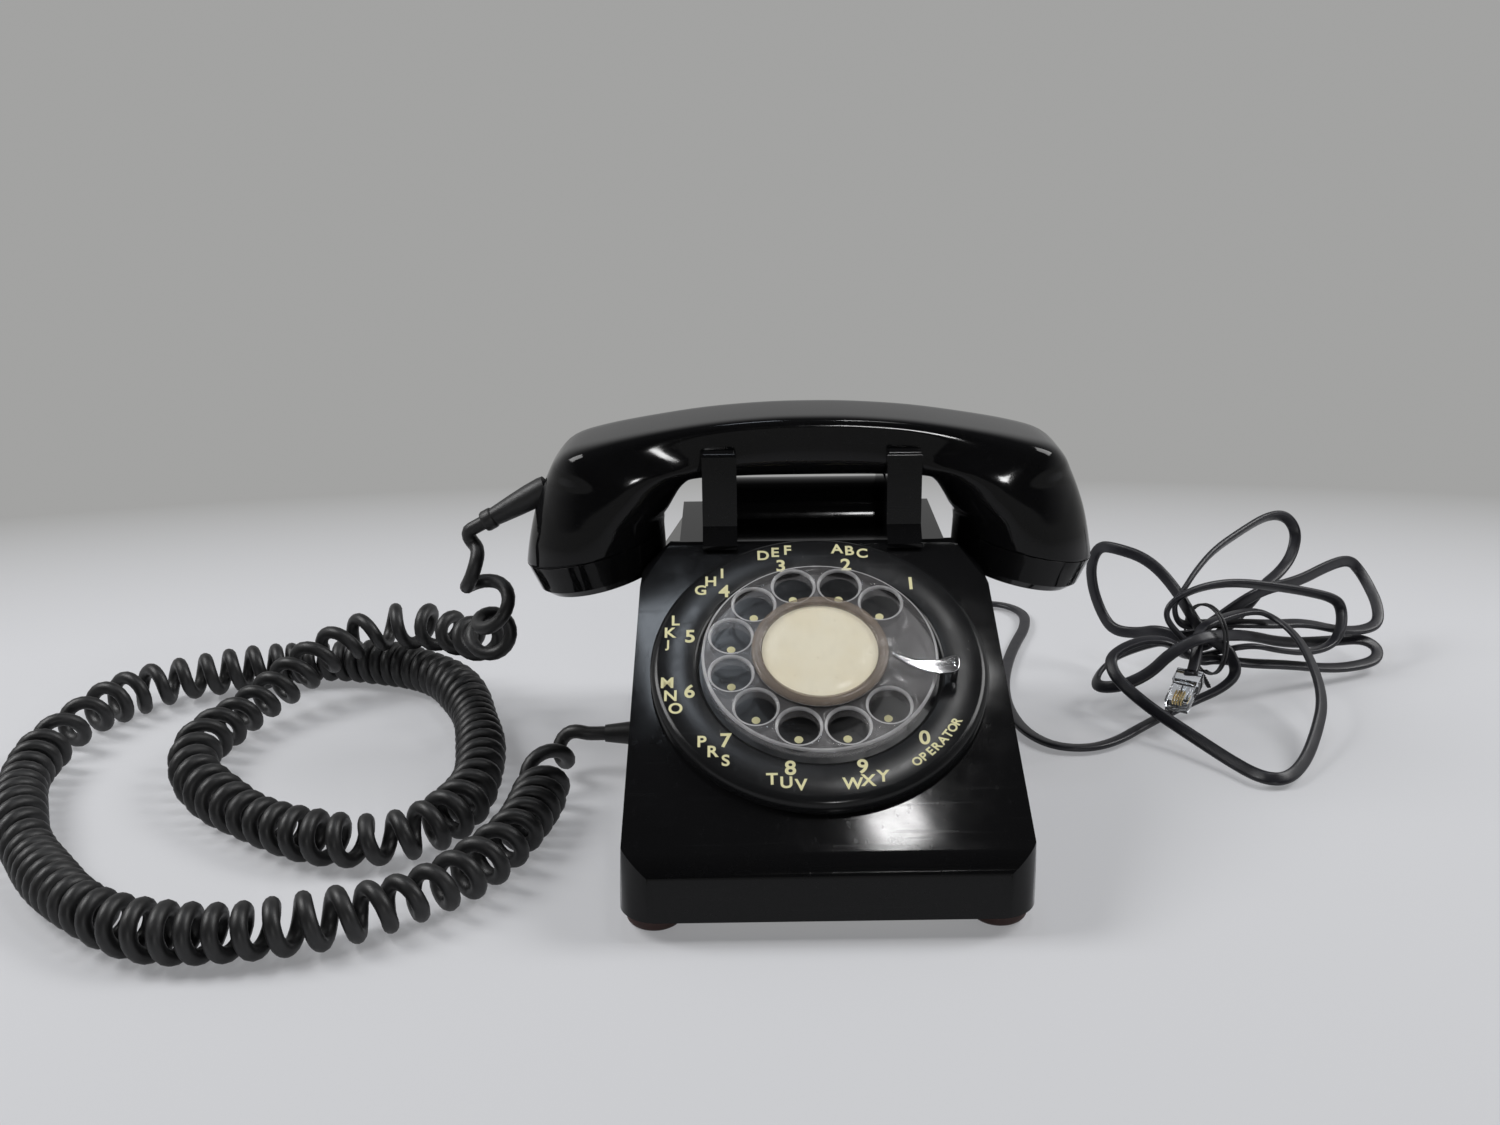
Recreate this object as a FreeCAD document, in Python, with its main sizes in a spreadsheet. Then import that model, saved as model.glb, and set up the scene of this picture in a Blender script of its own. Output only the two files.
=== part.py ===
import FreeCAD, Part
import math
import os
import re
import Sketcher

# Rotary desk telephone, in millimetres.
# X runs to the right seen from the front, Y to the back, Z up; the origin is on the table, below the middle.

V = FreeCAD.Vector
X_AXIS = V(1, 0, 0)
Y_AXIS = V(0, 1, 0)
Z_AXIS = V(0, 0, 1)
SIDES = (-1, 1)

# Driving sizes: alias, value
SIZES = [
    # housing
    ("body_width", 136.8), ("body_depth", 210), ("top_height", 97), ("top_width", 107),
    ("shoulder_height", 86), ("shoulder_width", 128.6), ("rear_top", 77), ("rear_band", 36),
    ("scoop_radius", 70), ("scoop_sink", 5), ("corner_radius", 13), ("front_radius", 11),
    ("top_radius", 6), ("edge_radius", 3), ("wall", 3),
    ("cap_cut_low", 62), ("cap_cut_high", 90), ("cap_cut_width", 100), ("cap_cut_front", 20),
    # base plate and feet
    ("plate_gap", 0.4), ("base_thick", 1.5), ("foot_height", 7), ("foot_radius", 9.5),
    ("foot_side", 11.4), ("foot_end", 15), ("screw_radius", 2), ("screw_head", 3.6),
    # cradle
    ("prong_width", 13), ("prong_spacing", 69.4), ("prong_thick", 7), ("prong_height", 131),
    ("prong_flare", 6), ("prong_flare_height", 6), ("cradle_gap", 0.3),
    ("saddle_radius", 14.3), ("plunger_radius", 3.5), ("plunger_bottom", 81.5), ("collar_radius", 5.5),
    ("collar_thick", 2), ("running_gap", 0.08),
    # dial
    ("dial_tilt", 30), ("dial_forward", 38), ("dial_height", 69.5),
    ("face_radius", 59.4), ("face_rise", 4), ("face_thick", 2.6), ("face_top", 1.7), ("face_rim", 3),
    ("well_gap", 1), ("face_bore", 7),
    ("wheel_radius", 41.4), ("wheel_thick", 5), ("wheel_gap", 1), ("wheel_edge", 2),
    ("hole_circle", 32), ("hole_radius", 7), ("hole_first", 45), ("hole_step", 30), ("hole_count", 10),
    ("card_radius", 20.3), ("card_thick", 0.4), ("card_rise", 1.2), ("window_thick", 1), ("ring_width", 3.5),
    ("ring_height", 1.8), ("stop_angle", -10), ("stop_inner", 25), ("stop_outer", 47), ("stop_width", 5),
    ("stop_thick", 1), ("stop_lift", 2.3),
    ("opening_radius", 48.5), ("frame_radius", 47), ("frame_thick", 2.5), ("hub_radius", 6), ("hub_length", 2),
    ("shaft_radius", 3), ("post_circle", 32), ("post_radius", 2.5), ("back_radius", 38), ("back_thick", 1.5),
    ("stack_depth", 18), ("gear_thick", 1.4), ("gear_module", 0.8), ("gear_teeth", 60), ("pinion_teeth", 10),
    ("tooth_share", 0.36), ("gear_backlash", 0.15), ("cam_radius", 8), ("cam_lobe", 3), ("cam_thick", 1.6),
    ("spring_inner", 8), ("spring_outer", 14), ("spring_height", 8), ("governor_radius", 1.5),
    ("weight_radius", 7), ("weight_thick", 3), ("cup_inner", 8), ("cup_outer", 9.2), ("cup_height", 6),
    ("leg_width", 8), ("leg_thick", 4), ("leg_spread", 43),
    # ringer
    ("gong_radius", 25), ("gong_height", 14), ("gong_thick", 1.8), ("gong_spread", 29), ("gong_back", 62),
    ("gong_bottom", 20), ("gong_post", 4), ("clapper_reach", 24), ("clapper_ball", 2.6), ("clapper_arm", 1.2),
    ("coil_radius", 8), ("coil_length", 28), ("coil_gap", 4), ("ringer_thick", 2), ("ringer_width", 100),
    ("ringer_front", 16), ("ringer_back", 90), ("loud_radius", 12), ("loud_thick", 5), ("loud_side", 50),
    # network block
    ("block_width", 56), ("block_depth", 42), ("block_height", 15), ("block_front", 84), ("terminal_rows", 3),
    # hook switch
    ("lever_back", 62), ("lever_thick", 2), ("lever_width", 40), ("lever_bar", 10), ("pin_radius", 1.5),
    ("ear_thick", 2), ("ear_depth", 10), ("ear_low", 75), ("leaf_thick", 0.5),
    # handset
    ("cap_radius", 28), ("cap_reach", 84), ("cap_tilt", 14), ("cap_height", 14), ("cap_taper", 2.2),
    ("cap_wall", 2), ("lip_height", 90), ("lip_gap", 0.2), ("handset_back", 44), ("handset_top", 142.5),
    ("handle_width", 36), ("handle_bottom", 118), ("handle_flat", 43), ("arch_drop", 13.5), ("arch_span", 97),
    ("arch_inner", 58), ("cup_rise", 48), ("cup_draft", 2), ("cup_lean", 9.8), ("cup_bore", 21),
    ("cup_depth", 10), ("capsule_radius", 19.5), ("capsule_thick", 9), ("cap_hole", 1.4),
    ("cap_hole_circle", 9), ("cap_hole_count", 7),
    # cords
    ("wire_radius", 2.8), ("curl_radius", 7.5), ("curl_count", 100), ("boot_root", 5.2), ("boot_length", 29),
    ("boot_tip", 3.4), ("base_boot_length", 13), ("base_boot_root", 5), ("cord_entry_height", 17),
    ("cord_entry_back", 22), ("line_radius", 2.1), ("line_exit_side", 34), ("line_exit_height", 14),
    ("grommet_radius", 5), ("grommet_length", 8), ("tie_radius", 15.6), ("tie_wire", 0.9),
    ("plug_width", 11.6), ("plug_height", 6.6), ("plug_length", 21),
]

doc = FreeCAD.newDocument("telephone")
sheet = doc.addObject("Spreadsheet::Sheet", "Sizes")
for row, (alias, number) in enumerate(SIZES, 1):
    sheet.set("A%d" % row, alias)
    sheet.set("B%d" % row, str(number))
    sheet.setAlias("B%d" % row, alias)
doc.recompute()


class Dim:
    """The sheet's numbers by their names, for places and for shapes made in code."""


dim = Dim()
for alias, number in SIZES:
    setattr(dim, alias, float(sheet.get(alias)))

ALIAS_WORD = re.compile(r"\b(" + "|".join(alias for alias, number in SIZES) + r")\b")
nodes = {}


def bound(text):
    """An expression on bare aliases, written so that any object of the document can hold it."""
    return ALIAS_WORD.sub(lambda word: "Sizes." + word.group(0), text)


def value(text):
    return float(sheet.evalExpression(bound(text)))


def at(x, y, z, axis=Z_AXIS, angle=0):
    return FreeCAD.Placement(V(x, y, z), FreeCAD.Rotation(axis, angle))


def keep(label, thing):
    """Name a finished piece, which becomes one file."""
    thing.Label = label
    nodes[label] = thing
    return thing


def box(name, length, width, height, place):
    thing = doc.addObject("Part::Box", name)
    thing.setExpression("Length", bound(length))
    thing.setExpression("Width", bound(width))
    thing.setExpression("Height", bound(height))
    thing.Placement = place
    return thing


def cylinder(name, radius, height, place):
    thing = doc.addObject("Part::Cylinder", name)
    thing.setExpression("Radius", bound(radius))
    thing.setExpression("Height", bound(height))
    thing.Placement = place
    return thing


def cone(name, low, high, height, place):
    thing = doc.addObject("Part::Cone", name)
    thing.setExpression("Radius1", bound(low))
    thing.setExpression("Radius2", bound(high))
    thing.setExpression("Height", bound(height))
    thing.Placement = place
    return thing


def circle(name, radius, place):
    thing = doc.addObject("Part::Circle", name)
    thing.setExpression("Radius", bound(radius))
    thing.Placement = place
    return thing


def fuse(name, things):
    thing = doc.addObject("Part::MultiFuse", name)
    thing.Shapes = things
    return thing


def common(name, things):
    thing = doc.addObject("Part::MultiCommon", name)
    thing.Shapes = things
    return thing


def cut(name, base, tools):
    """Take the tools away from the base, and make sure that each of them bites."""
    for number, tool in enumerate(tools):
        thing = doc.addObject("Part::Cut", "%s_cut_%d" % (name, number))
        thing.Base = base
        thing.Tool = tool
        doc.recompute()
        if base.Shape.Volume - thing.Shape.Volume < 1e-3:
            raise RuntimeError("%s: %s cuts nothing" % (name, tool.Name))
        base = thing
    return base


def group(name, things):
    thing = doc.addObject("Part::Compound", name)
    thing.Links = things
    return thing


def new_body(name, place):
    body = doc.addObject("PartDesign::Body", name)
    body.Placement = place
    return body


def outline(body, role, corners):
    """A closed sketch whose corners are expressions, on one of the body's own origin planes."""
    sketch = body.newObject("Sketcher::SketchObject", body.Name + "_outline")
    plane = [feature for feature in body.Origin.OriginFeatures if feature.Role == role][0]
    sketch.AttachmentSupport = [(plane, "")]
    sketch.MapMode = "FlatFace"
    spots = [V(value(across), value(along), 0) for across, along in corners]
    count = len(spots)
    for k in range(count):
        sketch.addGeometry(Part.LineSegment(spots[k], spots[(k + 1) % count]))
    for k in range(count):
        sketch.addConstraint(Sketcher.Constraint("Coincident", k, 2, (k + 1) % count, 1))
    for k, corner in enumerate(corners):
        for kind, text in zip(("DistanceX", "DistanceY"), corner):
            index = sketch.addConstraint(Sketcher.Constraint(kind, -1, 1, k, 1, value(text)))
            sketch.setExpression("Constraints[%d]" % index, bound(text))
    return sketch


def revolved(name, corners, place):
    """A body turned about its own Z axis from an outline of radius and height."""
    body = new_body(name, place)
    turned = body.newObject("PartDesign::Revolution", name + "_turned")
    turned.Profile = outline(body, "XZ_Plane", corners)
    turned.ReferenceAxis = (turned.Profile[0], ["V_Axis"])
    turned.Angle = 360
    doc.recompute()
    return body


def padded(name, role, corners, length, place, middle=False):
    """A body pushed out of a closed outline."""
    body = new_body(name, place)
    pad = body.newObject("PartDesign::Pad", name + "_pad")
    pad.Profile = outline(body, role, corners)
    pad.setExpression("Length", bound(length))
    pad.SideType = "Symmetric" if middle else "One side"
    doc.recompute()
    return body


def round_edges(body, radius, wanted):
    """Round the edges of the body's tip that the test wants."""
    base = body.Tip
    picked = ["Edge%d" % (k + 1) for k, edge in enumerate(base.Shape.Edges) if wanted(edge)]
    if not picked:
        raise RuntimeError(body.Name + ": no edge to round")
    fillet = body.newObject("PartDesign::Fillet", body.Name + "_round")
    fillet.Base = (base, picked)
    fillet.setExpression("Radius", bound(radius))
    doc.recompute()
    return fillet


def round_holes(body, sketch_radius, spot, count, turn):
    """Pocket one round hole through the body at a spot and repeat it about the Z axis."""
    sketch = body.newObject("Sketcher::SketchObject", body.Name + "_hole")
    plane = [feature for feature in body.Origin.OriginFeatures if feature.Role == "XY_Plane"][0]
    sketch.AttachmentSupport = [(plane, "")]
    sketch.MapMode = "FlatFace"
    sketch.addGeometry(Part.Circle(V(value(spot[0]), value(spot[1]), 0), Z_AXIS, value(sketch_radius)))
    index = sketch.addConstraint(Sketcher.Constraint("Radius", 0, value(sketch_radius)))
    sketch.setExpression("Constraints[%d]" % index, bound(sketch_radius))
    for kind, text in zip(("DistanceX", "DistanceY"), spot):
        index = sketch.addConstraint(Sketcher.Constraint(kind, -1, 1, 0, 3, value(text)))
        sketch.setExpression("Constraints[%d]" % index, bound(text))
    before = body.Tip.Shape.Volume
    pocket = body.newObject("PartDesign::Pocket", body.Name + "_pocket")
    pocket.Profile = sketch
    pocket.Type = "ThroughAll"
    pocket.SideType = "Symmetric"
    doc.recompute()
    pattern = body.newObject("PartDesign::PolarPattern", body.Name + "_pattern")
    pattern.Originals = [pocket]
    pattern.Axis = (sketch, ["N_Axis"])
    pattern.Angle = turn
    pattern.Occurrences = int(count)
    body.Tip = pattern
    doc.recompute()
    if before - body.Shape.Volume < 1e-3:
        raise RuntimeError(body.Name + ": holes cut nothing")


# Places that several pieces share
dial_place = at(0, -dim.dial_forward, dim.dial_height, X_AXIS, dim.dial_tilt)
base_top = dim.foot_height + dim.base_thick
inner_top = dim.top_height - dim.wall
prong_middle = dim.prong_spacing / 2
trough_floor = dim.handle_bottom - dim.cradle_gap
front_prong_back = dim.handset_back - dim.handle_width / 2 - dim.cradle_gap
rear_prong_front = dim.handset_back + dim.handle_width / 2 + dim.cradle_gap


def on_dial(x, y, lift):
    """A place in the dial's own frame: x to the right, y up the slope, lift out of the face."""
    return dial_place.multiply(at(x, y, lift))


# Housing
SLOPE_BACK = "(-dial_forward + face_rise * sin(dial_tilt))"
SLOPE_UP = "(dial_height - face_rise * cos(dial_tilt))"


def housing_block(name, inset, floor):
    """Side, front and plan outlines crossed into one block; the inset shrinks it to the cavity."""
    front = "(-body_depth / 2 + %s)" % inset
    rear = "(body_depth / 2 - %s)" % inset
    top = "(top_height - %s)" % inset
    drop = "(%s / cos(dial_tilt))" % inset
    brow = "(%s - %s + (%s - %s) * tan(dial_tilt))" % (SLOPE_UP, drop, front, SLOPE_BACK)
    crest = "((%s - %s + %s) / tan(dial_tilt) + %s)" % (top, SLOPE_UP, drop, SLOPE_BACK)
    corners = [
        (front, floor), (front, brow), (crest, top), ("rear_top - %s" % inset, top),
        (rear, "rear_band - %s" % inset), (rear, floor),
    ]
    side = padded(name + "_side", "YZ_Plane", corners, "body_width", at(0, 0, 0), True)

    def corner_edge(edge, spot):
        here = V(0, value(spot[0]), value(spot[1]))
        return all((V(0, v.Y, v.Z) - here).Length < 0.01 for v in edge.Vertexes)

    round_edges(side, "front_radius - 0.7 * %s" % inset, lambda edge: corner_edge(edge, corners[1]))
    round_edges(side, "top_radius",
                lambda edge: corner_edge(edge, corners[2]) or corner_edge(edge, corners[3]))
    half = [
        ("body_width / 2 - %s" % inset, floor), ("shoulder_width / 2 - %s" % inset, "shoulder_height"),
        ("top_width / 2 - %s" % inset, "top_height"), ("top_width / 2 - %s" % inset, "top_height + wall"),
    ]
    face = half + [("-(%s)" % across, up) for across, up in reversed(half)]
    across = padded(name + "_front", "XZ_Plane", face, "body_depth", at(0, 0, 0), True)
    plan = [
        ("-body_width / 2 + %s" % inset, front), ("body_width / 2 - %s" % inset, front),
        ("body_width / 2 - %s" % inset, rear), ("-body_width / 2 + %s" % inset, rear),
    ]
    down = padded(name + "_plan", "XY_Plane", plan, "top_height", at(0, 0, 0))
    round_edges(down, "corner_radius - %s" % inset,
                lambda edge: abs(edge.Vertexes[0].Z - edge.Vertexes[-1].Z) > dim.wall)
    block = common(name, [side, across, down])
    tools = []
    for hand in SIDES:
        low = "body_width / 2 - %s" % inset
        high = "cap_cut_width / 2 - %s" % inset
        corners = [
            (low, "cap_cut_low - %s" % inset), (high, "cap_cut_high - %s" % inset),
            (high, "top_height + wall"), ("body_width", "top_height + wall"),
            ("body_width", "cap_cut_low - %s" % inset),
        ]
        corners = [("%d * (%s)" % (hand, over), up) for over, up in corners]
        tools.append(padded("%s_cap_cut_%d" % (name, hand + 1), "XZ_Plane", corners, "body_depth",
                            at(0, dim.cap_cut_front - value(inset) + dim.body_depth, 0)))
    rear_run = V(0, dim.body_depth / 2 - dim.rear_top, dim.rear_band - dim.top_height)
    rear_mid = V(0, (dim.body_depth / 2 + dim.rear_top) / 2, (dim.rear_band + dim.top_height) / 2)
    outward = V(0, -rear_run.z, rear_run.y)
    outward.normalize()
    centre = rear_mid + outward * (dim.scoop_radius - dim.scoop_sink)
    tools.append(cylinder(name + "_scoop", "scoop_radius + %s" % inset, "2 * body_width",
                          at(-dim.body_width, centre.y, centre.z, Y_AXIS, 90)))
    doc.recompute()
    return cut(name, block, tools)


def cradle_side(hand):
    """One pedestal: a front and a rear prong with the trough between them."""
    back = "(handset_back + handle_width / 2 + cradle_gap)"
    front = "(handset_back - handle_width / 2 - cradle_gap)"
    low = "top_height - wall / 2"
    corners = [
        (front + " - prong_thick - prong_flare", low),
        (front + " - prong_thick - prong_flare", "top_height"),
        (front + " - prong_thick", "top_height + prong_flare_height"),
        (front + " - prong_thick", "prong_height"), (front, "prong_height"),
        (front, "handle_bottom - cradle_gap"), (back, "handle_bottom - cradle_gap"),
        (back, "prong_height"), (back + " + prong_thick", "prong_height"), (back + " + prong_thick", low),
    ]
    body = padded("pedestal_%d" % (hand + 1), "YZ_Plane", corners, "prong_width",
                  at(hand * prong_middle, 0, 0), True)

    def prong_top(edge):
        return all(abs(v.Z - dim.prong_height) < 0.01 for v in edge.Vertexes)

    round_edges(body, "edge_radius / 2", prong_top)
    return body


shell_outer = housing_block("shell_outer", "0", "foot_height")
shell_inner = housing_block("shell_inner", "wall", "foot_height - wall")
saddle = cylinder("saddle", "saddle_radius", "prong_spacing",
                  at(-prong_middle, rear_prong_front + dim.prong_thick - dim.saddle_radius / 2,
                     dim.top_height - dim.wall / 2, Y_AXIS, 90))
saddle_keep = box("saddle_keep", "body_width", "body_depth", "prong_height - top_height + wall / 2",
                  at(-dim.body_width / 2, 0, dim.top_height - dim.wall / 2))
saddle_top = common("saddle_top", [saddle, saddle_keep])
shell_full = fuse("shell_full", [shell_outer, saddle_top] + [cradle_side(hand) for hand in SIDES])
shell_cuts = [shell_inner]
shell_cuts.append(cylinder("dial_opening", "opening_radius", "stack_depth + 2 * face_rise",
                           on_dial(0, 0, -dim.stack_depth - dim.face_rise)))
for hand in SIDES:
    shell_cuts.append(cylinder("plunger_bore_%d" % (hand + 1), "plunger_radius + running_gap", "prong_height",
                               at(hand * prong_middle, dim.handset_back, dim.plunger_bottom)))
shell_cuts.append(cylinder("boot_hole", "base_boot_root", "body_width / 2 + 4 * wall",
                           at(-dim.body_width, dim.cord_entry_back, dim.cord_entry_height, Y_AXIS, 90)))
shell_cuts.append(cylinder("grommet_hole", "grommet_radius", "body_depth / 4",
                           at(dim.line_exit_side, dim.body_depth * 5 / 8, dim.line_exit_height, X_AXIS, 90)))
doc.recompute()
keep("housing", cut("shell", shell_full, shell_cuts))

# Base plate, feet and the screws that hold the housing down
plate_half = "(body_width / 2 - wall - plate_gap)"
plate_long = "(body_depth / 2 - wall - plate_gap)"
plate_corners = [("-" + plate_half, "-" + plate_long), (plate_half, "-" + plate_long),
                 (plate_half, plate_long), ("-" + plate_half, plate_long)]
plate = padded("bottom", "XY_Plane", plate_corners, "base_thick", at(0, 0, dim.foot_height))
round_edges(plate, "corner_radius - wall - plate_gap",
            lambda edge: abs(edge.Vertexes[0].Z - edge.Vertexes[-1].Z) > dim.base_thick / 2)
loud_slot = box("loud_slot", "2 * loud_radius", "loud_thick + 4 * plate_gap", "4 * base_thick",
                at(dim.loud_side - dim.loud_radius, -dim.loud_thick / 2 - 2 * dim.plate_gap,
                   dim.foot_height - dim.base_thick))
doc.recompute()
keep("base_plate", cut("base_plate", plate, [loud_slot]))

foot_x = dim.body_width / 2 - dim.foot_side
foot_y = dim.body_depth / 2 - dim.foot_end
feet = []
for side in SIDES:
    for end in SIDES:
        corners = [("0", "0"), ("foot_radius - wall / 2", "0"), ("foot_radius", "wall / 2"),
                   ("foot_radius", "foot_height"), ("0", "foot_height")]
        feet.append(revolved("foot_%d_%d" % (side + 1, end + 1), corners, at(side * foot_x, end * foot_y, 0)))
keep("feet", group("feet", feet))


def screw_head(name, place):
    """The domed head of a screw, standing out along the place's Z axis."""
    corners = [("0", "0"), ("screw_head", "0"), ("0.7 * screw_head", "0.5 * screw_head"),
               ("0", "0.5 * screw_head")]
    return revolved(name, corners, place)


keep("base_screws", group("base_screws", [
    screw_head("base_screw_%d" % (side + 1), at(side * foot_x, foot_y / 2, dim.foot_height, X_AXIS, 180))
    for side in SIDES]))

# Dial
face_corners = [
    ("face_bore", "-face_rise"), ("face_radius", "-face_rise"), ("face_radius", "face_top - face_rim"),
    ("face_radius - face_rim / 3", "face_top - face_rim / 3"), ("face_radius - face_rim", "face_top"),
    ("wheel_radius + 2 * well_gap", "face_top"), ("wheel_radius + well_gap", "face_top - well_gap"),
    ("wheel_radius + well_gap", "-face_rise + face_thick"), ("face_bore", "-face_rise + face_thick"),
]
keep("number_plate", revolved("face", face_corners, on_dial(0, 0, 0)))

BORE = "shaft_radius + running_gap"
wheel_corners = [
    (BORE, "0"), ("wheel_radius - wheel_edge", "0"), ("wheel_radius", "wheel_edge"),
    ("wheel_radius", "wheel_thick - wheel_edge"), ("wheel_radius - wheel_edge", "wheel_thick"),
    ("card_radius + ring_width + 2 * running_gap", "wheel_thick"),
    ("card_radius + ring_width + 2 * running_gap", "wheel_thick + card_rise"),
    (BORE, "wheel_thick + card_rise"),
]
wheel = revolved("wheel", wheel_corners, on_dial(0, 0, dim.wheel_gap))
round_holes(wheel, "hole_radius", ("hole_circle * cos(hole_first)", "hole_circle * sin(hole_first)"),
            dim.hole_count, dim.hole_step * (dim.hole_count - 1))
keep("finger_wheel", wheel)
card_low = dim.wheel_gap + dim.wheel_thick + dim.card_rise
keep("number_card", cylinder("card", "card_radius", "card_thick", on_dial(0, 0, card_low)))
window_low = card_low + dim.card_thick
keep("card_window", cylinder("window", "card_radius", "window_thick", on_dial(0, 0, window_low)))
ring_corners = [
    ("card_radius + running_gap", "0"), ("card_radius + ring_width", "0"),
    ("card_radius + ring_width", "ring_height - ring_width / 3"),
    ("card_radius + 2 * ring_width / 3", "ring_height"), ("card_radius + running_gap", "ring_height"),
]
keep("card_ring", revolved("ring", ring_corners, on_dial(0, 0, card_low)))

stop_high = "(wheel_gap + wheel_thick + stop_lift)"
stop_corners = [
    ("stop_outer", "face_top"), ("stop_outer", stop_high + " + stop_thick"),
    ("stop_inner", stop_high + " + stop_thick"), ("stop_inner", stop_high),
    ("stop_outer - 2 * stop_thick", stop_high), ("stop_outer - 2 * stop_thick", "face_top"),
]
keep("finger_stop", padded("stop", "XZ_Plane", stop_corners, "stop_width",
                           dial_place.multiply(at(0, 0, 0, Z_AXIS, dim.stop_angle)), True))

frame_low = -dim.face_rise - dim.frame_thick
back_high = frame_low - dim.stack_depth
gear_high = frame_low - dim.hub_length - dim.wheel_gap
cam_high = gear_high - dim.gear_thick - dim.wheel_gap
pitch_radius = dim.gear_module * dim.gear_teeth / 2
pinion_pitch = dim.gear_module * dim.pinion_teeth / 2
governor_x = pitch_radius + pinion_pitch + dim.gear_backlash
frame_corners = [
    (BORE, "-face_rise"), ("frame_radius", "-face_rise"), ("frame_radius", "-face_rise - frame_thick"),
    ("hub_radius", "-face_rise - frame_thick"), ("hub_radius", "-face_rise - frame_thick - hub_length"),
    (BORE, "-face_rise - frame_thick - hub_length"),
]
frame_disc = revolved("dial_disc", frame_corners, on_dial(0, 0, 0))
posts = []
for k in range(3):
    angle = math.radians(90 + 120 * k)
    posts.append(cylinder("post_%d" % k, "post_radius", "stack_depth",
                          on_dial(dim.post_circle * math.cos(angle), dim.post_circle * math.sin(angle),
                                  back_high)))
doc.recompute()
governor_bore = cylinder("governor_bore", "governor_radius + running_gap", "2 * stack_depth",
                         on_dial(governor_x, 0, frame_low - dim.stack_depth / 2))
frame_full = fuse("frame_full", [frame_disc] + posts)
doc.recompute()
keep("dial_frame", cut("dial_frame", frame_full, [governor_bore]))
back_disc = revolved("back_disc", [(BORE, "0"), ("back_radius", "0"), ("back_radius", "-back_thick"),
                                   (BORE, "-back_thick")], on_dial(0, 0, back_high))
back_bore = cylinder("back_bore", "governor_radius + running_gap", "4 * back_thick",
                     on_dial(governor_x, 0, back_high - 2 * dim.back_thick))
doc.recompute()
keep("dial_back_plate", cut("dial_back", back_disc, [back_bore]))
dial_screws = []
for k in range(3):
    angle = math.radians(90 + 120 * k)
    place = on_dial(dim.post_circle * math.cos(angle), dim.post_circle * math.sin(angle),
                    back_high - dim.back_thick)
    dial_screws.append(screw_head("dial_screw_%d" % k, place.multiply(at(0, 0, 0, X_AXIS, 180))))
keep("dial_screws", group("dial_screws", dial_screws))

shaft_bottom = back_high - 2 * dim.back_thick
shaft = cylinder("spindle", "shaft_radius", "stack_depth", on_dial(0, 0, shaft_bottom))
shaft.setExpression("Height", bound("stack_depth + 2 * back_thick + face_rise + frame_thick + wheel_gap"
                                    " + wheel_thick + card_rise"))
keep("dial_shaft", shaft)


def toothed(name, teeth, pitch, tooth_bore, place):
    """A spur gear: a disc with a bore, one tooth, and the tooth repeated."""
    root = "(%s - 1.2 * gear_module)" % pitch
    tip = "(%s + 0.7 * gear_module)" % pitch
    disc = [(tooth_bore, "0"), (root, "0"), (root, "gear_thick"), (tooth_bore, "gear_thick")]
    body = revolved(name, disc, place)
    wide = "(0.75 * tooth_share * pi * gear_module)"
    slim = "(0.25 * tooth_share * pi * gear_module)"
    sink = "(%s - gear_module / 2)" % root
    corners = [(sink, "-" + wide), (tip, "-" + slim), (tip, slim), (sink, wide)]
    tooth = body.newObject("PartDesign::Pad", name + "_tooth")
    tooth.Profile = outline(body, "XY_Plane", corners)
    tooth.setExpression("Length", bound("gear_thick"))
    doc.recompute()
    pattern = body.newObject("PartDesign::PolarPattern", name + "_teeth")
    pattern.Originals = [tooth]
    pattern.Axis = (tooth.Profile[0], ["N_Axis"])
    pattern.Angle = 360
    pattern.Occurrences = int(teeth)
    body.Tip = pattern
    doc.recompute()
    return body


keep("main_gear", toothed("main_gear", dim.gear_teeth, "(gear_module * gear_teeth / 2)", BORE,
                          on_dial(0, 0, gear_high - dim.gear_thick)))
ROD_BORE = "governor_radius + running_gap"
half_tooth = 180 / dim.pinion_teeth
pinion = toothed("pinion", dim.pinion_teeth, "(gear_module * pinion_teeth / 2)", ROD_BORE,
                 on_dial(governor_x, 0, gear_high - dim.gear_thick).multiply(at(0, 0, 0, Z_AXIS, half_tooth)))
keep("governor_pinion", pinion)
governor_low = back_high - dim.back_thick
keep("governor_shaft", cylinder("governor_rod", "governor_radius", "stack_depth + back_thick + frame_thick / 2",
                                on_dial(governor_x, 0, governor_low)))
cup_corners = [
    ("cup_inner", "0"), ("cup_outer", "0"), ("cup_outer", "cup_height"), ("cup_inner", "cup_height"),
]
keep("governor_cup", revolved("governor_ring", cup_corners, on_dial(governor_x, 0, back_high)))
weight_corners = [(ROD_BORE, "0"), ("weight_radius", "0"), ("weight_radius", "weight_thick"),
                  (ROD_BORE, "weight_thick")]
weight_low = back_high + dim.weight_thick / 2
weight_disc = revolved("weight_disc", weight_corners, on_dial(governor_x, 0, weight_low))
weight_gap = box("weight_gap", "3 * governor_radius", "2 * weight_radius", "weight_thick",
                 on_dial(governor_x + dim.governor_radius * 2.2, -dim.weight_radius,
                         back_high + dim.weight_thick / 2))
weight_gap_left = box("weight_gap_left", "3 * governor_radius", "2 * weight_radius", "weight_thick",
                      on_dial(governor_x - dim.governor_radius * 5.2, -dim.weight_radius,
                              back_high + dim.weight_thick / 2))
doc.recompute()
keep("governor_weights", cut("weights", weight_disc, [weight_gap, weight_gap_left]))
spring_corners = [("spring_inner", "0"), ("spring_outer", "0"), ("spring_outer", "spring_height"),
                  ("spring_inner", "spring_height")]
keep("main_spring", revolved("spring_barrel", spring_corners, on_dial(0, 0, back_high)))
cam_disc = revolved("cam_disc", [(BORE, "0"), ("cam_radius", "0"), ("cam_radius", "cam_thick"),
                                 (BORE, "cam_thick")], on_dial(0, 0, cam_high - dim.cam_thick))
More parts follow.
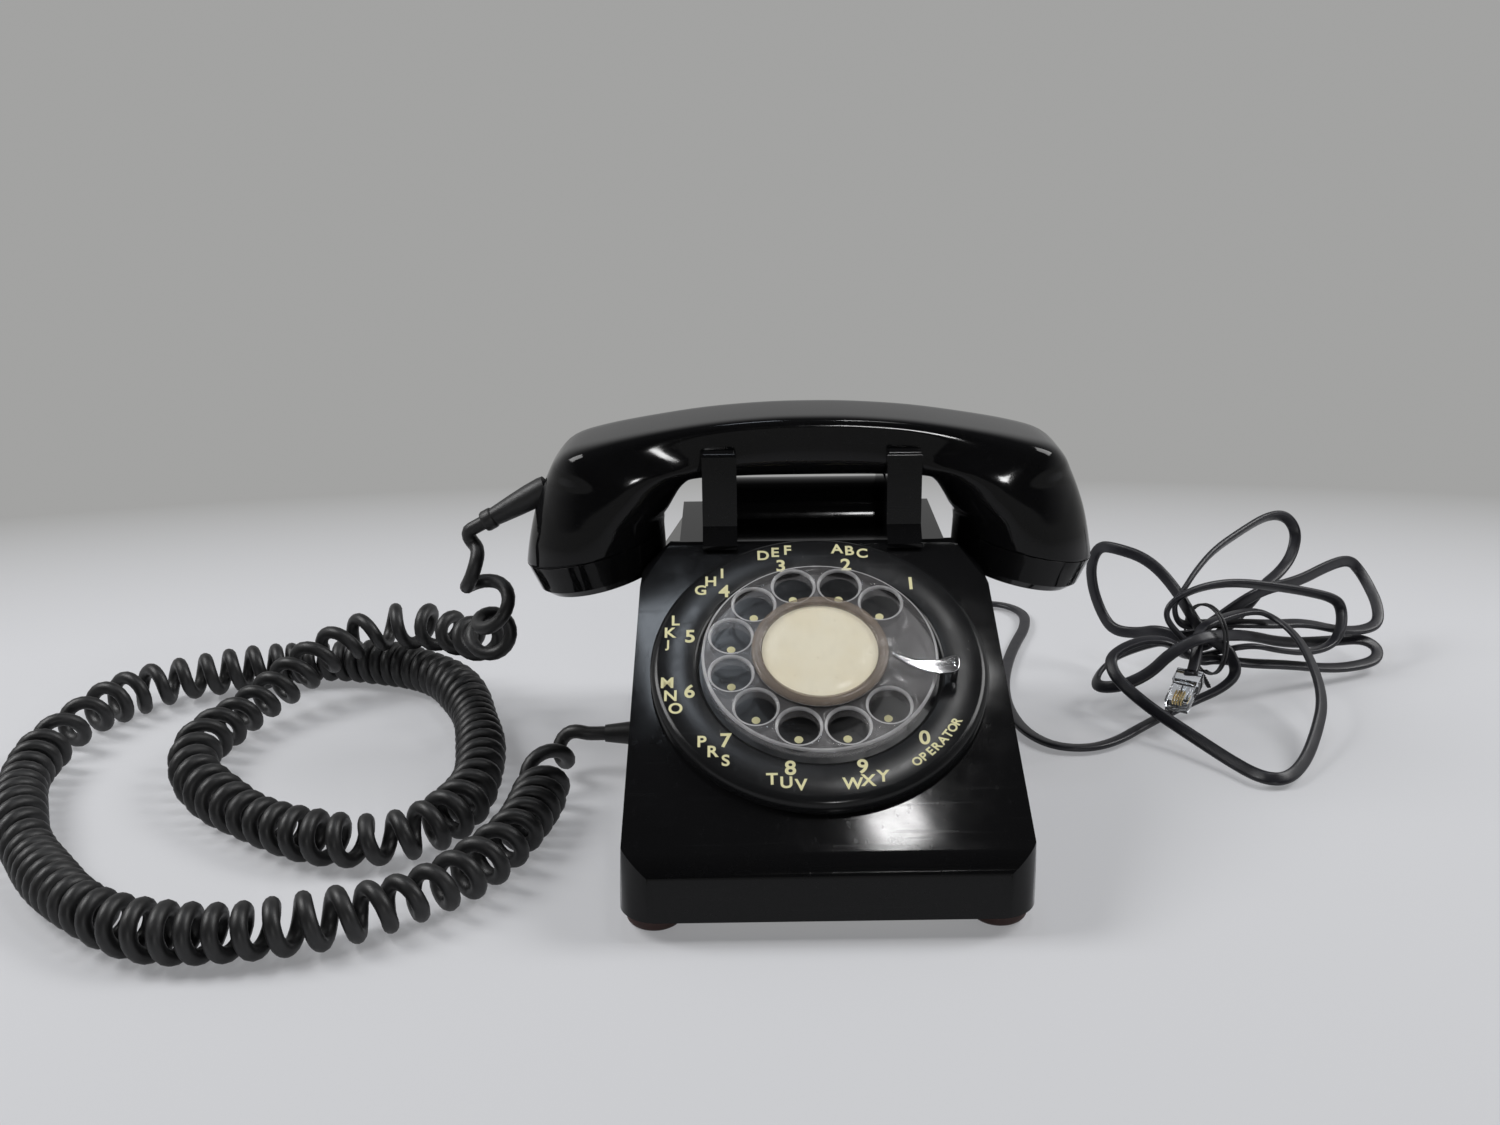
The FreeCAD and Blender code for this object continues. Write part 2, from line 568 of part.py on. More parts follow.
cam_lobe = box("cam_lobe", "cam_radius + cam_lobe - shaft_radius * 2", "cam_lobe", "cam_thick",
               on_dial(dim.shaft_radius * 2, -dim.cam_lobe / 2, cam_high - dim.cam_thick))
keep("pulse_cam", fuse("pulse_cam", [cam_disc, cam_lobe]))
contact_y = dim.cam_radius + dim.cam_lobe + 2
contact_rise = "stack_depth - hub_length - gear_thick - 2 * wheel_gap"
contact_block = box("contact_block", "leg_width", "leg_width", contact_rise,
                    on_dial(-dim.leg_width * 2.2, contact_y, back_high))
contact_leaves = [box("contact_leaf_%d" % k, "3 * leg_width", "leaf_thick", "cam_thick",
                      on_dial(-dim.leg_width * 1.4, contact_y + 2 * k + 1, cam_high - dim.cam_thick))
                  for k in range(3)]
keep("pulse_contacts", fuse("pulse_contacts", [contact_block] + contact_leaves))

# Two legs carry the dial frame from the base plate
legs = []
leg_under = dial_place.multVec(V(0, 0, frame_low))
leg_cutter = box("leg_cutter", "2 * body_width", "2 * body_width", "body_width",
                 on_dial(-dim.body_width, -dim.body_width, frame_low))
for hand in SIDES:
    leg = box("leg_%d" % (hand + 1), "leg_thick", "leg_width", "top_height",
              at(hand * dim.leg_spread - dim.leg_thick / 2, leg_under.y - dim.leg_width / 2, base_top))
    doc.recompute()
    legs.append(cut("leg_cut_%d" % (hand + 1), leg, [leg_cutter]))
keep("dial_legs", group("dial_legs", legs))

# Network block with its terminals
block_low = -dim.block_front
keep("network_block", box("network", "block_width", "block_depth", "block_height",
                          at(-dim.block_width / 2, block_low, base_top)))
terminals = []
for row in range(int(dim.terminal_rows)):
    for hand in SIDES:
        spot = at(hand * (dim.block_width / 2 - dim.screw_head * 1.5),
                  block_low + dim.block_depth * (row + 0.5) / dim.terminal_rows, base_top + dim.block_height)
        terminals.append(screw_head("terminal_%d_%d" % (row, hand + 1), spot))
keep("terminal_screws", group("terminal_screws", terminals))

# Ringer
ringer_top = base_top + dim.ringer_thick
ringer_plate = box("ringer_plate", "ringer_width", "ringer_back - ringer_front", "ringer_thick",
                   at(-dim.ringer_width / 2, dim.ringer_front, base_top))
gong_top = dim.gong_bottom + dim.gong_height
post_rise = "gong_bottom + gong_height - gong_thick - foot_height - base_thick - ringer_thick"
ringer_posts = [cylinder("gong_post_%d" % (hand + 1), "gong_post", post_rise,
                         at(hand * dim.gong_spread, dim.gong_back, ringer_top)) for hand in SIDES]
clapper_pivot = V(0, dim.gong_back - dim.clapper_reach, ringer_top)
pivot_post = cylinder("clapper_pin", "pin_radius", "gong_height",
                      at(clapper_pivot.x, clapper_pivot.y, ringer_top))
keep("ringer_frame", fuse("ringer_frame", [ringer_plate, pivot_post] + ringer_posts))
for hand, label in zip(SIDES, ("gong_left", "gong_right")):
    corners = [
        ("screw_radius", "gong_height"), ("0.55 * gong_radius", "gong_height"),
        ("0.85 * gong_radius", "0.75 * gong_height"), ("gong_radius", "0.3 * gong_height"),
        ("gong_radius", "0"),
        ("gong_radius - gong_thick", "0"), ("gong_radius - gong_thick", "0.3 * gong_height"),
        ("0.85 * gong_radius - gong_thick", "0.75 * gong_height - gong_thick / 2"),
        ("0.55 * gong_radius", "gong_height - gong_thick"), ("screw_radius", "gong_height - gong_thick"),
    ]
    gong_place = at(hand * dim.gong_spread, dim.gong_back, dim.gong_bottom)
    keep(label, revolved(label + "_bell", corners, gong_place))
gong_screws = []
for hand in SIDES:
    corners = [("0", "-gong_thick"), ("screw_radius", "-gong_thick"), ("screw_radius", "0"),
               ("screw_head", "0"),
               ("0.7 * screw_head", "0.5 * screw_head"), ("0", "0.5 * screw_head")]
    gong_screws.append(revolved("gong_screw_%d" % (hand + 1), corners,
                                at(hand * dim.gong_spread, dim.gong_back, gong_top)))
keep("gong_screws", group("gong_screws", gong_screws))
clapper_height = dim.gong_bottom + dim.gong_height * 0.15
eye_low = ringer_top + dim.cradle_gap
eye_corners = [("pin_radius + running_gap", "0"), ("2 * pin_radius", "0"), ("2 * pin_radius", "gong_height - 1"),
               ("pin_radius + running_gap", "gong_height - 1")]
clapper_eye = revolved("clapper_eye", eye_corners, at(clapper_pivot.x, clapper_pivot.y, eye_low))
clapper_arm = cylinder("clapper_rod", "clapper_arm", "clapper_reach - 1.6 * pin_radius",
                       at(0, clapper_pivot.y + 1.6 * dim.pin_radius, clapper_height, X_AXIS, -90))
clapper_ball = doc.addObject("Part::Sphere", "clapper_ball_form")
clapper_ball.setExpression("Radius", bound("clapper_ball"))
clapper_ball.Placement = at(0, dim.gong_back, clapper_height)
keep("clapper", fuse("clapper", [clapper_eye, clapper_arm, clapper_ball]))
coils = []
for hand in SIDES:
    corners = [("pin_radius + running_gap", "0"), ("coil_radius + 1", "0"), ("coil_radius + 1", "1"),
               ("coil_radius", "1"), ("coil_radius", "coil_length - 1"), ("coil_radius + 1", "coil_length - 1"),
               ("coil_radius + 1", "coil_length"), ("pin_radius + running_gap", "coil_length")]
    start = dim.coil_gap / 2 if hand > 0 else -dim.coil_gap / 2 - dim.coil_length
    coil_y = dim.ringer_front + dim.coil_radius + 2
    coils.append(revolved("coil_%d" % (hand + 1), corners,
                          at(start, coil_y, ringer_top + dim.coil_radius + 1, Y_AXIS, 90)))
keep("ringer_coils", group("ringer_coils", coils))
keep("ringer_core", cylinder("core", "pin_radius", "2 * coil_length + coil_gap + 4",
                             at(-dim.coil_length - dim.coil_gap / 2 - 2, coil_y,
                                ringer_top + dim.coil_radius + 1, Y_AXIS, 90)))
loud_height = dim.foot_height - dim.loud_radius / 3 + dim.loud_radius
loud_place = at(dim.loud_side, dim.loud_thick / 2, loud_height, X_AXIS, 90)
loud_wheel = revolved("loud_wheel", [("pin_radius + running_gap", "0"), ("loud_radius - 0.5", "0"),
                                     ("loud_radius", "0.5"), ("loud_radius", "loud_thick - 0.5"),
                                     ("loud_radius - 0.5", "loud_thick"),
                                     ("pin_radius + running_gap", "loud_thick")], loud_place)
round_holes(loud_wheel, "pin_radius", ("loud_radius * 0.65", "0"), 6, 360)
keep("loudness_wheel", loud_wheel)
axle = cylinder("loud_axle", "pin_radius", "loud_thick + 4 * leaf_thick + 2 * ear_thick",
                at(dim.loud_side, dim.loud_thick / 2 + 2 * dim.leaf_thick + dim.ear_thick, loud_height,
                   X_AXIS, 90))
loud_ears = []
for hand in SIDES:
    inside = dim.loud_thick / 2 + 2 * dim.leaf_thick
    ear_y = inside if hand > 0 else -inside - dim.ear_thick
    loud_ears.append(box("loud_ear_%d" % (hand + 1), "leg_width", "ear_thick", "loud_radius",
                         at(dim.loud_side - dim.leg_width / 2, ear_y, base_top)))
keep("loudness_bracket", fuse("loudness_bracket", [axle] + loud_ears))

# Hook switch: two plungers press a lever that hangs from a bracket under the cradle
for hand, label in zip(SIDES, ("hook_plunger_left", "hook_plunger_right")):
    foot = at(hand * prong_middle, dim.handset_back, dim.plunger_bottom)
    rod = cylinder(label + "_rod", "plunger_radius", "handle_bottom - cradle_gap / 2 - plunger_bottom", foot)
    collar = cylinder(label + "_collar", "collar_radius", "collar_thick", foot)
    keep(label, fuse(label, [rod, collar]))
lever_top = dim.plunger_bottom - dim.cradle_gap
lever_low = lever_top - dim.lever_thick
lever_web = box("lever_web", "lever_width", "lever_back - handset_back", "lever_thick",
                at(-dim.lever_width / 2, dim.handset_back, lever_low))
lever_bar = box("lever_bar_form", "prong_spacing + 2 * plunger_radius", "lever_bar", "lever_thick",
                at(-prong_middle - dim.plunger_radius, dim.handset_back - dim.lever_bar / 2, lever_low))
lever_tube = cylinder("lever_tube", "pin_radius + lever_thick", "lever_width",
                      at(-dim.lever_width / 2, dim.lever_back, lever_low, Y_AXIS, 90))
lever_bore = cylinder("lever_bore", "pin_radius + running_gap", "2 * lever_width",
                      at(-dim.lever_width, dim.lever_back, lever_low, Y_AXIS, 90))
lever_full = fuse("lever_full", [lever_web, lever_bar, lever_tube])
doc.recompute()
keep("hook_lever", cut("hook_lever", lever_full, [lever_bore]))
ear_x = dim.lever_width / 2 + dim.cradle_gap
bracket_plate = box("bracket_plate", "lever_width + 2 * cradle_gap + 2 * ear_thick", "ear_depth", "ear_thick",
                    at(-ear_x - dim.ear_thick, dim.lever_back - dim.ear_depth / 2, inner_top - dim.ear_thick))
bracket_ears = []
for hand in SIDES:
    start = ear_x if hand > 0 else -ear_x - dim.ear_thick
    bracket_ears.append(box("bracket_ear_%d" % (hand + 1), "ear_thick", "ear_depth",
                            "top_height - wall - ear_low",
                            at(start, dim.lever_back - dim.ear_depth / 2, dim.ear_low)))
bracket_pin = cylinder("bracket_pin", "pin_radius", "lever_width + 2 * cradle_gap + 2 * ear_thick",
                       at(-ear_x - dim.ear_thick, dim.lever_back, lever_low, Y_AXIS, 90))
keep("hook_bracket", fuse("hook_bracket", [bracket_plate, bracket_pin] + bracket_ears))
pile_x = ear_x + dim.ear_thick + 1
pile_block = box("pile_block", "leg_width", "ear_depth", "leg_width",
                 at(pile_x, dim.lever_back - dim.ear_depth / 2, inner_top - dim.leg_width))
pile_leaves = [box("pile_leaf_%d" % k, "leg_width / 2", "ear_depth", "leaf_thick",
                   at(pile_x + dim.leg_width / 4, dim.lever_back - dim.ear_depth * 1.2,
                      inner_top - dim.leg_width + 1 + 2 * k)) for k in range(3)]
keep("hook_contacts", fuse("hook_contacts", [pile_block] + pile_leaves))

# Handset
arch_radius = (dim.arch_span ** 2 + dim.arch_drop ** 2) / (2 * dim.arch_drop)
cap_places = {hand: at(hand * dim.cap_reach, dim.handset_back, dim.lip_height, Y_AXIS, hand * dim.cap_tilt)
              for hand in SIDES}


def leaning_cup(name, hand):
    """The side of an ear or mouth cup: from the tilted lip to a smaller circle nearer to the handle."""
    lip = circle(name + "_lip", "cap_radius", cap_places[hand])
    crown_x = hand * (dim.cap_reach - dim.cup_lean)
    top = circle(name + "_top", "cap_radius - cup_draft",
                 at(crown_x, dim.handset_back, dim.lip_height + dim.cup_rise))
    thing = doc.addObject("Part::Loft", name)
    thing.Sections = [lip, top]
    thing.Solid = True
    thing.Ruled = True
    return thing


cups = [leaning_cup("cup_%d" % (hand + 1), hand) for hand in SIDES]
flare = [("handle_flat", "handle_width / 2"), ("cap_reach - cap_radius", "handle_width / 2 + 2.5"),
         ("cap_reach - cup_lean", "cap_radius - cup_draft - 1.5"),
         ("cap_reach - cup_lean + 4", "cap_radius - cup_draft - 2")]
plan = ([(over, out) for over, out in flare]
        + [(over, "-(%s)" % out) for over, out in reversed(flare)]
        + [("-(%s)" % over, "-(%s)" % out) for over, out in flare]
        + [("-(%s)" % over, out) for over, out in reversed(flare)])
bar = padded("handle_bar", "XY_Plane", plan, "handset_top - lip_height + wall",
             at(0, dim.handset_back, dim.lip_height))
inner_arch = [
    ("arch_inner", "lip_height - wall"), ("arch_inner - 1", "lip_height + (arch_inner - 1 - handle_flat)"),
    ("arch_inner - 6", "handle_bottom - 3"), ("handle_flat", "handle_bottom"),
]
inner_arch = inner_arch + [("-(%s)" % over, up) for over, up in reversed(inner_arch)]
arch_tool = padded("arch_tool", "XZ_Plane", inner_arch, "2 * handset_back", at(0, dim.handset_back, 0), True)
# The bar stops at the lip planes, where the caps begin
lip_tools = [box("lip_tool_%d" % (hand + 1), "4 * cap_radius", "4 * cap_radius", "2 * cap_radius",
                 cap_places[hand].multiply(at(-2 * dim.cap_radius, -2 * dim.cap_radius, -2 * dim.cap_radius)))
             for hand in SIDES]
crown = cylinder("crown", "arch_span", "4 * cap_radius",
                 at(0, dim.handset_back + 2 * dim.cap_radius, dim.handset_top - arch_radius, X_AXIS, 90))
crown.setExpression("Radius", bound("(arch_span ^ 2 + arch_drop ^ 2) / (2 * arch_drop)"))
doc.recompute()
crowned = [common(thing.Name + "_crowned", [thing, crown]) for thing in [bar] + cups]
handle_solid = cut("handle", fuse("handle_full", crowned), [arch_tool] + lip_tools)
capsule_bores = [cylinder("capsule_bore_%d" % (hand + 1), "cup_bore", "cup_depth + 1",
                          cap_places[hand].multiply(at(0, 0, -1))) for hand in SIDES]
doc.recompute()
keep("handset_handle", cut("handset_handle", handle_solid, capsule_bores))

cap_low = "-(cap_height + lip_gap)"
for hand, label in zip(SIDES, ("transmitter_cap", "receiver_cap")):
    corners = [
        ("0", cap_low), ("cap_radius - cap_taper - 3", cap_low), ("cap_radius - cap_taper", cap_low + " + 3"),
        ("cap_radius", "-lip_gap"), ("cap_radius - cap_wall - 1", "-lip_gap"),
        ("cap_radius - cap_wall - cap_taper - 1", cap_low + " + 3"),
        ("cap_radius - cap_wall - cap_taper - 3", cap_low + " + cap_wall"), ("0", cap_low + " + cap_wall"),
    ]
    cap = revolved(label + "_form", corners, cap_places[hand])
    round_holes(cap, "cap_hole", ("cap_hole_circle", "0"), dim.cap_hole_count, 360)
    keep(label, cap)
capsule_low = -dim.cap_height - dim.lip_gap + dim.cap_wall + dim.cradle_gap
for hand, label in zip(SIDES, ("transmitter_capsule", "receiver_capsule")):
    corners = [("0", "0"), ("capsule_radius - 4", "0"), ("capsule_radius", "3"),
               ("capsule_radius", "capsule_thick"), ("0", "capsule_thick")]
    keep(label, revolved(label + "_form", corners, cap_places[hand].multiply(at(0, 0, capsule_low))))
contact_low = capsule_low + dim.capsule_thick
keep("contact_cup", cylinder("contact_cup_form", "capsule_radius", "cup_depth - 1",
                             cap_places[-1].multiply(at(0, 0, contact_low))))

# Strain reliefs of the curly cord
boot_dir = V(-0.88, 0, -0.475)
boot_dir.normalize()
BOOT_HEIGHT = 112.0
BOOT_SINK = 10.0
boot_spot = V(-dim.cap_reach - dim.cap_radius + BOOT_SINK, dim.handset_back, BOOT_HEIGHT)
boot_turn = FreeCAD.Rotation(Z_AXIS, boot_dir)
boot_form = cone("boot_form", "boot_root", "boot_tip", "boot_length", FreeCAD.Placement(boot_spot, boot_turn))
doc.recompute()
keep("handset_boot", cut("handset_boot", boot_form, [nodes["handset_handle"]]))
boot_end = boot_spot + boot_dir * dim.boot_length
entry = V(-dim.body_width / 2, dim.cord_entry_back, dim.cord_entry_height)
boot_sleeve = cylinder("boot_sleeve", "base_boot_root - running_gap", "2 * wall",
                       at(entry.x + 2 * dim.wall, entry.y, entry.z, Y_AXIS, -90))
boot_taper = cone("boot_taper", "base_boot_root - running_gap", "boot_tip", "base_boot_length",
                  at(entry.x, entry.y, entry.z, Y_AXIS, -90))
keep("base_boot", fuse("base_boot", [boot_sleeve, boot_taper]))
grommet = cylinder("grommet", "grommet_radius - running_gap", "grommet_length",
                   at(dim.line_exit_side, dim.body_depth / 2 + dim.grommet_length - 2 * dim.wall,
                      dim.line_exit_height, X_AXIS, 90))
keep("line_grommet", grommet)


# Cords
def biarc(start, start_way, end, end_way):
    """Two tangent arcs between two points with given directions."""
    run = end - start
    bend = 2 * (1 - start_way.dot(end_way))
    lean = 2 * run.dot(start_way + end_way)
    reach = run.dot(run) / lean
    if bend > 1e-9:
        reach = (math.sqrt(lean * lean + 4 * bend * run.dot(run)) - lean) / (2 * bend)
    first = start + start_way * reach
    second = end - end_way * reach
    join = (first + second) * 0.5
    return [arc_edge(start, first, join), arc_edge(join, second, end)]


def arc_edge(start, corner, end):
    """The arc from start to end that leaves and arrives along the lines to the corner."""
    weight = (end - start).Length / 2 / (corner - start).Length
    if weight > 0.999999:
        return Part.LineSegment(start, end).toShape()
    middle = (start + corner * (2 * weight) + end) * (1 / (2 + 2 * weight))
    return Part.Arc(start, middle, end).toShape()


def unit(way):
    return way * (1 / way.Length)


def chain(points, first_way, last_way):
    """Biarcs through the points, each with the direction between its neighbours."""
    ways = [first_way]
    for k in range(1, len(points) - 1):
        ways.append(unit(points[k + 1] - points[k - 1]))
    ways.append(last_way)
    edges = []
    for k in range(len(points) - 1):
        edges += biarc(points[k], ways[k], points[k + 1], ways[k + 1])
    return edges


def rounded_run(points):
    """Straight runs joined by arcs as large as the runs allow."""
    edges = []
    radii = []
    start = points[0]
    for k in range(1, len(points) - 1):
        back = unit(points[k - 1] - points[k])
        ahead = unit(points[k + 1] - points[k])
        shorter = min((points[k] - points[k - 1]).Length, (points[k + 1] - points[k]).Length)
        half_turn = (math.pi - back.getAngle(ahead)) / 2
        radii.append(0.45 * shorter / math.tan(half_turn))
        edges.append(Part.LineSegment(start, points[k] + back * (0.45 * shorter)).toShape())
        start = points[k] + ahead * (0.45 * shorter)
        edges.append(arc_edge(points[k] + back * (0.45 * shorter), points[k], start))
    edges.append(Part.LineSegment(start, points[-1]).toShape())
    print("line lead radii", [round(radius, 1) for radius in radii])
    return edges


def tube(label, edges, radius):
    """One unbroken round tube along the edges, its volume compared with section times length."""
    wire = Part.Wire(edges)
    first = edges[0]
    ring = Part.Wire([Part.Circle(first.valueAt(first.FirstParameter), first.tangentAt(first.FirstParameter),
                                  radius).toShape()])
    shape = wire.makePipeShell([ring], True, False)
    wanted = math.pi * radius ** 2 * wire.Length
    print(label, "length", round(wire.Length, 1), "volume share", round(shape.Volume / wanted, 4))
    if abs(shape.Volume / wanted - 1) > 0.01:
        raise RuntimeError(label + ": the tube folds")
    feature = doc.addObject("Part::Feature", label + "_tube")
    feature.Shape = shape
    return keep(label, feature)


def least_gap(label, edges, radius):
    """Print the least gap between stretches of one tube that aren't neighbours along it."""
    spots = []
    travelled = 0
    for edge in edges:
        steps = max(2, int(edge.Length / radius) + 1)
        for k in range(steps):
            share = edge.getParameterByLength(edge.Length * k / steps)
            spots.append((travelled + edge.Length * k / steps, edge.valueAt(share)))
        travelled += edge.Length
    cell = 4 * radius
    grid = {}
    for index, (along, spot) in enumerate(spots):
        key = (math.floor(spot.x / cell), math.floor(spot.y / cell), math.floor(spot.z / cell))
        grid.setdefault(key, []).append(index)
    least = (cell, V(), V())
    for (i, j, k), members in grid.items():
        near = [n for a in (-1, 0, 1) for b in (-1, 0, 1) for c in (-1, 0, 1)
                for n in grid.get((i + a, j + b, k + c), ())]
        for one in members:
            for two in near:
                if spots[two][0] - spots[one][0] > 3 * math.pi * radius:
                    gap = spots[one][1].distanceToPoint(spots[two][1]) - 2 * radius
                    if gap < least[0]:
                        least = (gap, spots[one][1], spots[two][1])
    print(label, "least gap to itself", round(least[0], 2), "at", [round(c) for c in least[1]],
          [round(c) for c in least[2]])


# Curly cord: the coil's middle line, from the boot on the handset down to the pile and round to the housing
COIL_HIGH = 33.0
COIL_LOW = 10.6
HANG_ROUTE = [
    (-135, 44, 86), (-129, 44, 76), (-126, 45, 63), (-127, 50, 51), (-131, 62, 42),
]
PILE_ROUTE = [
    (-139, 78, 36), (-150, 93, COIL_HIGH), (-167, 105, COIL_HIGH), (-188, 108, 31), (-208, 98, 25),
    (-224, 80, 16), (-237, 58, COIL_LOW), (-246, 32, COIL_LOW), (-241, 6, COIL_LOW), (-225, -16, COIL_LOW),
    (-206, -34, COIL_LOW), (-186, -47, COIL_LOW), (-164, -54, COIL_LOW), (-144, -48, COIL_LOW),
    (-131, -30, COIL_LOW), (-128, -4, COIL_LOW), (-131, 24, COIL_LOW), (-137, 50, COIL_LOW),
    (-145, 76, COIL_LOW), (-158, 98, COIL_LOW), (-179, 114, COIL_LOW), (-205, 121, COIL_LOW),
    (-232, 117, COIL_LOW), (-260, 108, COIL_LOW), (-284, 95, COIL_LOW), (-299, 72, COIL_LOW),
    (-305, 45, COIL_LOW), (-306, 18, COIL_LOW), (-300, -12, COIL_LOW), (-287, -42, COIL_LOW),
    (-268, -70, COIL_LOW), (-247, -94, COIL_LOW), (-222, -111, COIL_LOW), (-194, -114, COIL_LOW),
    (-166, -107, COIL_LOW), (-140, -96, COIL_LOW), (-120, -76, COIL_LOW), (-108, -50, COIL_LOW),
    (-103, -22, COIL_LOW), (-103, 0, COIL_LOW), (-102, 13, 12), (-98, 20, 15),
]
wire_across = 2 * dim.wire_radius
entry_tip = V(entry.x - dim.base_boot_length, entry.y, entry.z)
STRAIGHT_RUN = (0, 0.75, 1.4)
coil_poles = [boot_end + boot_dir * (share * wire_across) for share in STRAIGHT_RUN]
coil_poles += [V(*spot) for spot in HANG_ROUTE + PILE_ROUTE]
coil_poles += [entry_tip - X_AXIS * (2 * wire_across), entry_tip - X_AXIS * wire_across, entry_tip]
coil_line = Part.BSplineCurve()
inner_knots = len(coil_poles) - 3
coil_line.buildFromPolesMultsKnots(coil_poles, [3] + [1] * inner_knots + [3],
                                   [float(k) for k in range(inner_knots + 2)], False, 2)
STEPS_PER_POLE = 80
HANG_OPEN = 70.0
HOUSING_OPEN = 60.0
OPEN_PITCH = 24.0
EASE = 22.0


def ease(share):
    share = min(1, max(0, share))
    return share * share * (3 - 2 * share)


class CurledLine:
    """The wire's own line: it winds round the coil's middle line, tight in the pile and open at both ends."""

    def __init__(self):
        count = STEPS_PER_POLE * len(coil_poles)
        self.spots = [coil_line.value((inner_knots + 1) * k / count) for k in range(count + 1)]
        self.along = [0.0]
        for one, two in zip(self.spots, self.spots[1:]):
            self.along.append(self.along[-1] + (two - one).Length)
        self.length = self.along[-1]
        self.normals = [unit(Y_AXIS.cross(self.spots[1] - self.spots[0]))]
        for one, two in zip(self.spots, self.spots[1:]):
            way = unit(two - one)
            last = self.normals[-1]
            self.normals.append(unit(last - way * last.dot(way)))
        opened = HANG_OPEN + HOUSING_OPEN
        self.pitch = (self.length - opened) / (dim.curl_count - opened / OPEN_PITCH)
        self.turns = [0.0]
        for one, two in zip(self.along, self.along[1:]):
            middle = (one + two) / 2
            tight = HANG_OPEN < middle < self.length - HOUSING_OPEN
            self.turns.append(self.turns[-1] + (two - one) / (self.pitch if tight else OPEN_PITCH))

    def spot(self, turn):
        low = 0
        high = len(self.turns) - 1
        while high - low > 1:
            half = (low + high) // 2
            if self.turns[half] <= turn:
                low = half
            else:
                high = half
        share = (turn - self.turns[low]) / (self.turns[high] - self.turns[low])
        middle = self.spots[low] + (self.spots[high] - self.spots[low]) * share
        along = self.along[low] + (self.along[high] - self.along[low]) * share
        way = unit(self.spots[high] - self.spots[low])
        out = unit(self.normals[low] + (self.normals[high] - self.normals[low]) * share)
        side = way.cross(out)
        swing = dim.curl_radius * ease((along - wire_across) / EASE)
        swing *= ease((self.length - wire_across - along) / EASE)
        angle = 2 * math.pi * turn
        return middle + out * (swing * math.cos(angle)) + side * (swing * math.sin(angle))


curled = CurledLine()
QUARTERS = 4
last_turn = curled.turns[-1]
end_share = wire_across / OPEN_PITCH
MARK_CLEAR = 2.2
clear_share = MARK_CLEAR * end_share
turn_marks = [k / QUARTERS for k in range(int(last_turn * QUARTERS) + 1)]
turn_marks = [mark for mark in turn_marks if clear_share < mark < last_turn - clear_share]
turn_marks = [end_share] + turn_marks + [last_turn - end_share]
wire_spots = [curled.spot(mark) for mark in turn_marks]
wire_edges = [Part.LineSegment(boot_end, wire_spots[0]).toShape()]
wire_edges += chain(wire_spots, unit(wire_spots[0] - boot_end), unit(entry_tip - wire_spots[-1]))
wire_edges.append(Part.LineSegment(wire_spots[-1], entry_tip).toShape())
tightest = min(edge.Curve.Radius for edge in wire_edges if edge.Curve.TypeId == "Part::GeomCircle")
print("curly cord turns", round(last_turn, 1), "pitch", round(curled.pitch, 1),
      "tightest radius", round(tightest, 2))
least_gap("curly cord", wire_edges, dim.wire_radius)
pile_top = PILE_ROUTE[0][2]
hang_count = [k for k, edge in enumerate(wire_edges) if edge.valueAt(edge.LastParameter).z < pile_top][0]
tube("handset_cord_hang", wire_edges[:hang_count], dim.wire_radius)
tube("handset_cord_pile", wire_edges[hang_count:], dim.wire_radius)

# Line cord: the lead on the floor, from the back of the housing round to the hank
FLOOR = dim.line_radius + 0.4
exit_back = dim.body_depth / 2 + dim.grommet_length - 2 * dim.wall
line_exit = V(dim.line_exit_side, exit_back, dim.line_exit_height)
LINE_ROUTE = [
    (36, 128, 10.5), (43, 144, 5.5), (53, 166, FLOOR), (66, 189, FLOOR), (84, 206, FLOOR), (104, 208, FLOOR),
    (115, 194, FLOOR), (112, 173, FLOOR), (103, 150, FLOOR), (95, 125, FLOOR), (89, 98, FLOOR), (87, 71, FLOOR),
    (91, 47, FLOOR), (102, 33, FLOOR), (121, 34, FLOOR),
    (144, 55, 4), (163, 67, 7), (178, 72, 11), (186, 77, 16), (184, 82, 23),
]
line_points = [line_exit, line_exit + Y_AXIS * 9] + [V(*spot) for spot in LINE_ROUTE]

# The hank: the cord goes through the tie, out into one loop after another, and ends in its plug
tie_spot = V(175, 89, 28)
waist = unit(V(0.96, 0.27, 0))
UPPER_LEFT_LOOP = [
    (181, 84, 26), (172, 86, 31), (165, 106, 45), (155, 118, 55), (142, 129, 57), (137, 137, 55),
    (134, 138, 46), (135, 135, 35), (139, 130, 24), (143, 123, 19), (152, 114, 21), (158, 105, 26),
]
FAR_RIGHT_LOOP = [
    (166, 97, 25), (176, 102, 26), (203, 111, 42), (225, 126, 40), (247, 143, 43), (259, 152, 42),
    (264, 152, 37), (267, 146, 31), (268, 136, 25), (266, 128, 19), (257, 122, 18), (244, 117, 20),
    (225, 109, 27), (209, 102, 29), (192, 96, 32),
]
TALL_LOOP = [
    (174, 96, 32), (164, 94, 32), (161, 95, 41), (166, 98, 47), (173, 106, 53), (183, 116, 59),
    (197, 128, 63), (214, 142, 67), (226, 150, 65), (232, 150, 57), (229, 144, 48), (222, 137, 42),
    (210, 125, 39), (201, 115, 34),
]
FLAT_LOOP = [
    (177, 89, 25), (168, 85, 25), (157, 86, 36), (156, 88, 42), (162, 90, 47), (173, 94, 50),
    (189, 102, 49), (207, 108, 45), (226, 114, 40), (241, 118, 35), (244, 117, 30), (242, 110, 23),
    (236, 105, 17), (222, 97, 17), (207, 91, 21), (193, 86, 26),
]
LOW_LEFT_LOOP = [
    (176, 92, 19), (166, 88, 19), (158, 88, 27), (147, 89, 24), (136, 90, 19), (129, 86, 15), (125, 79, 12),
    (127, 73, 12), (135, 68, 15), (146, 69, 20), (155, 72, 28),
]
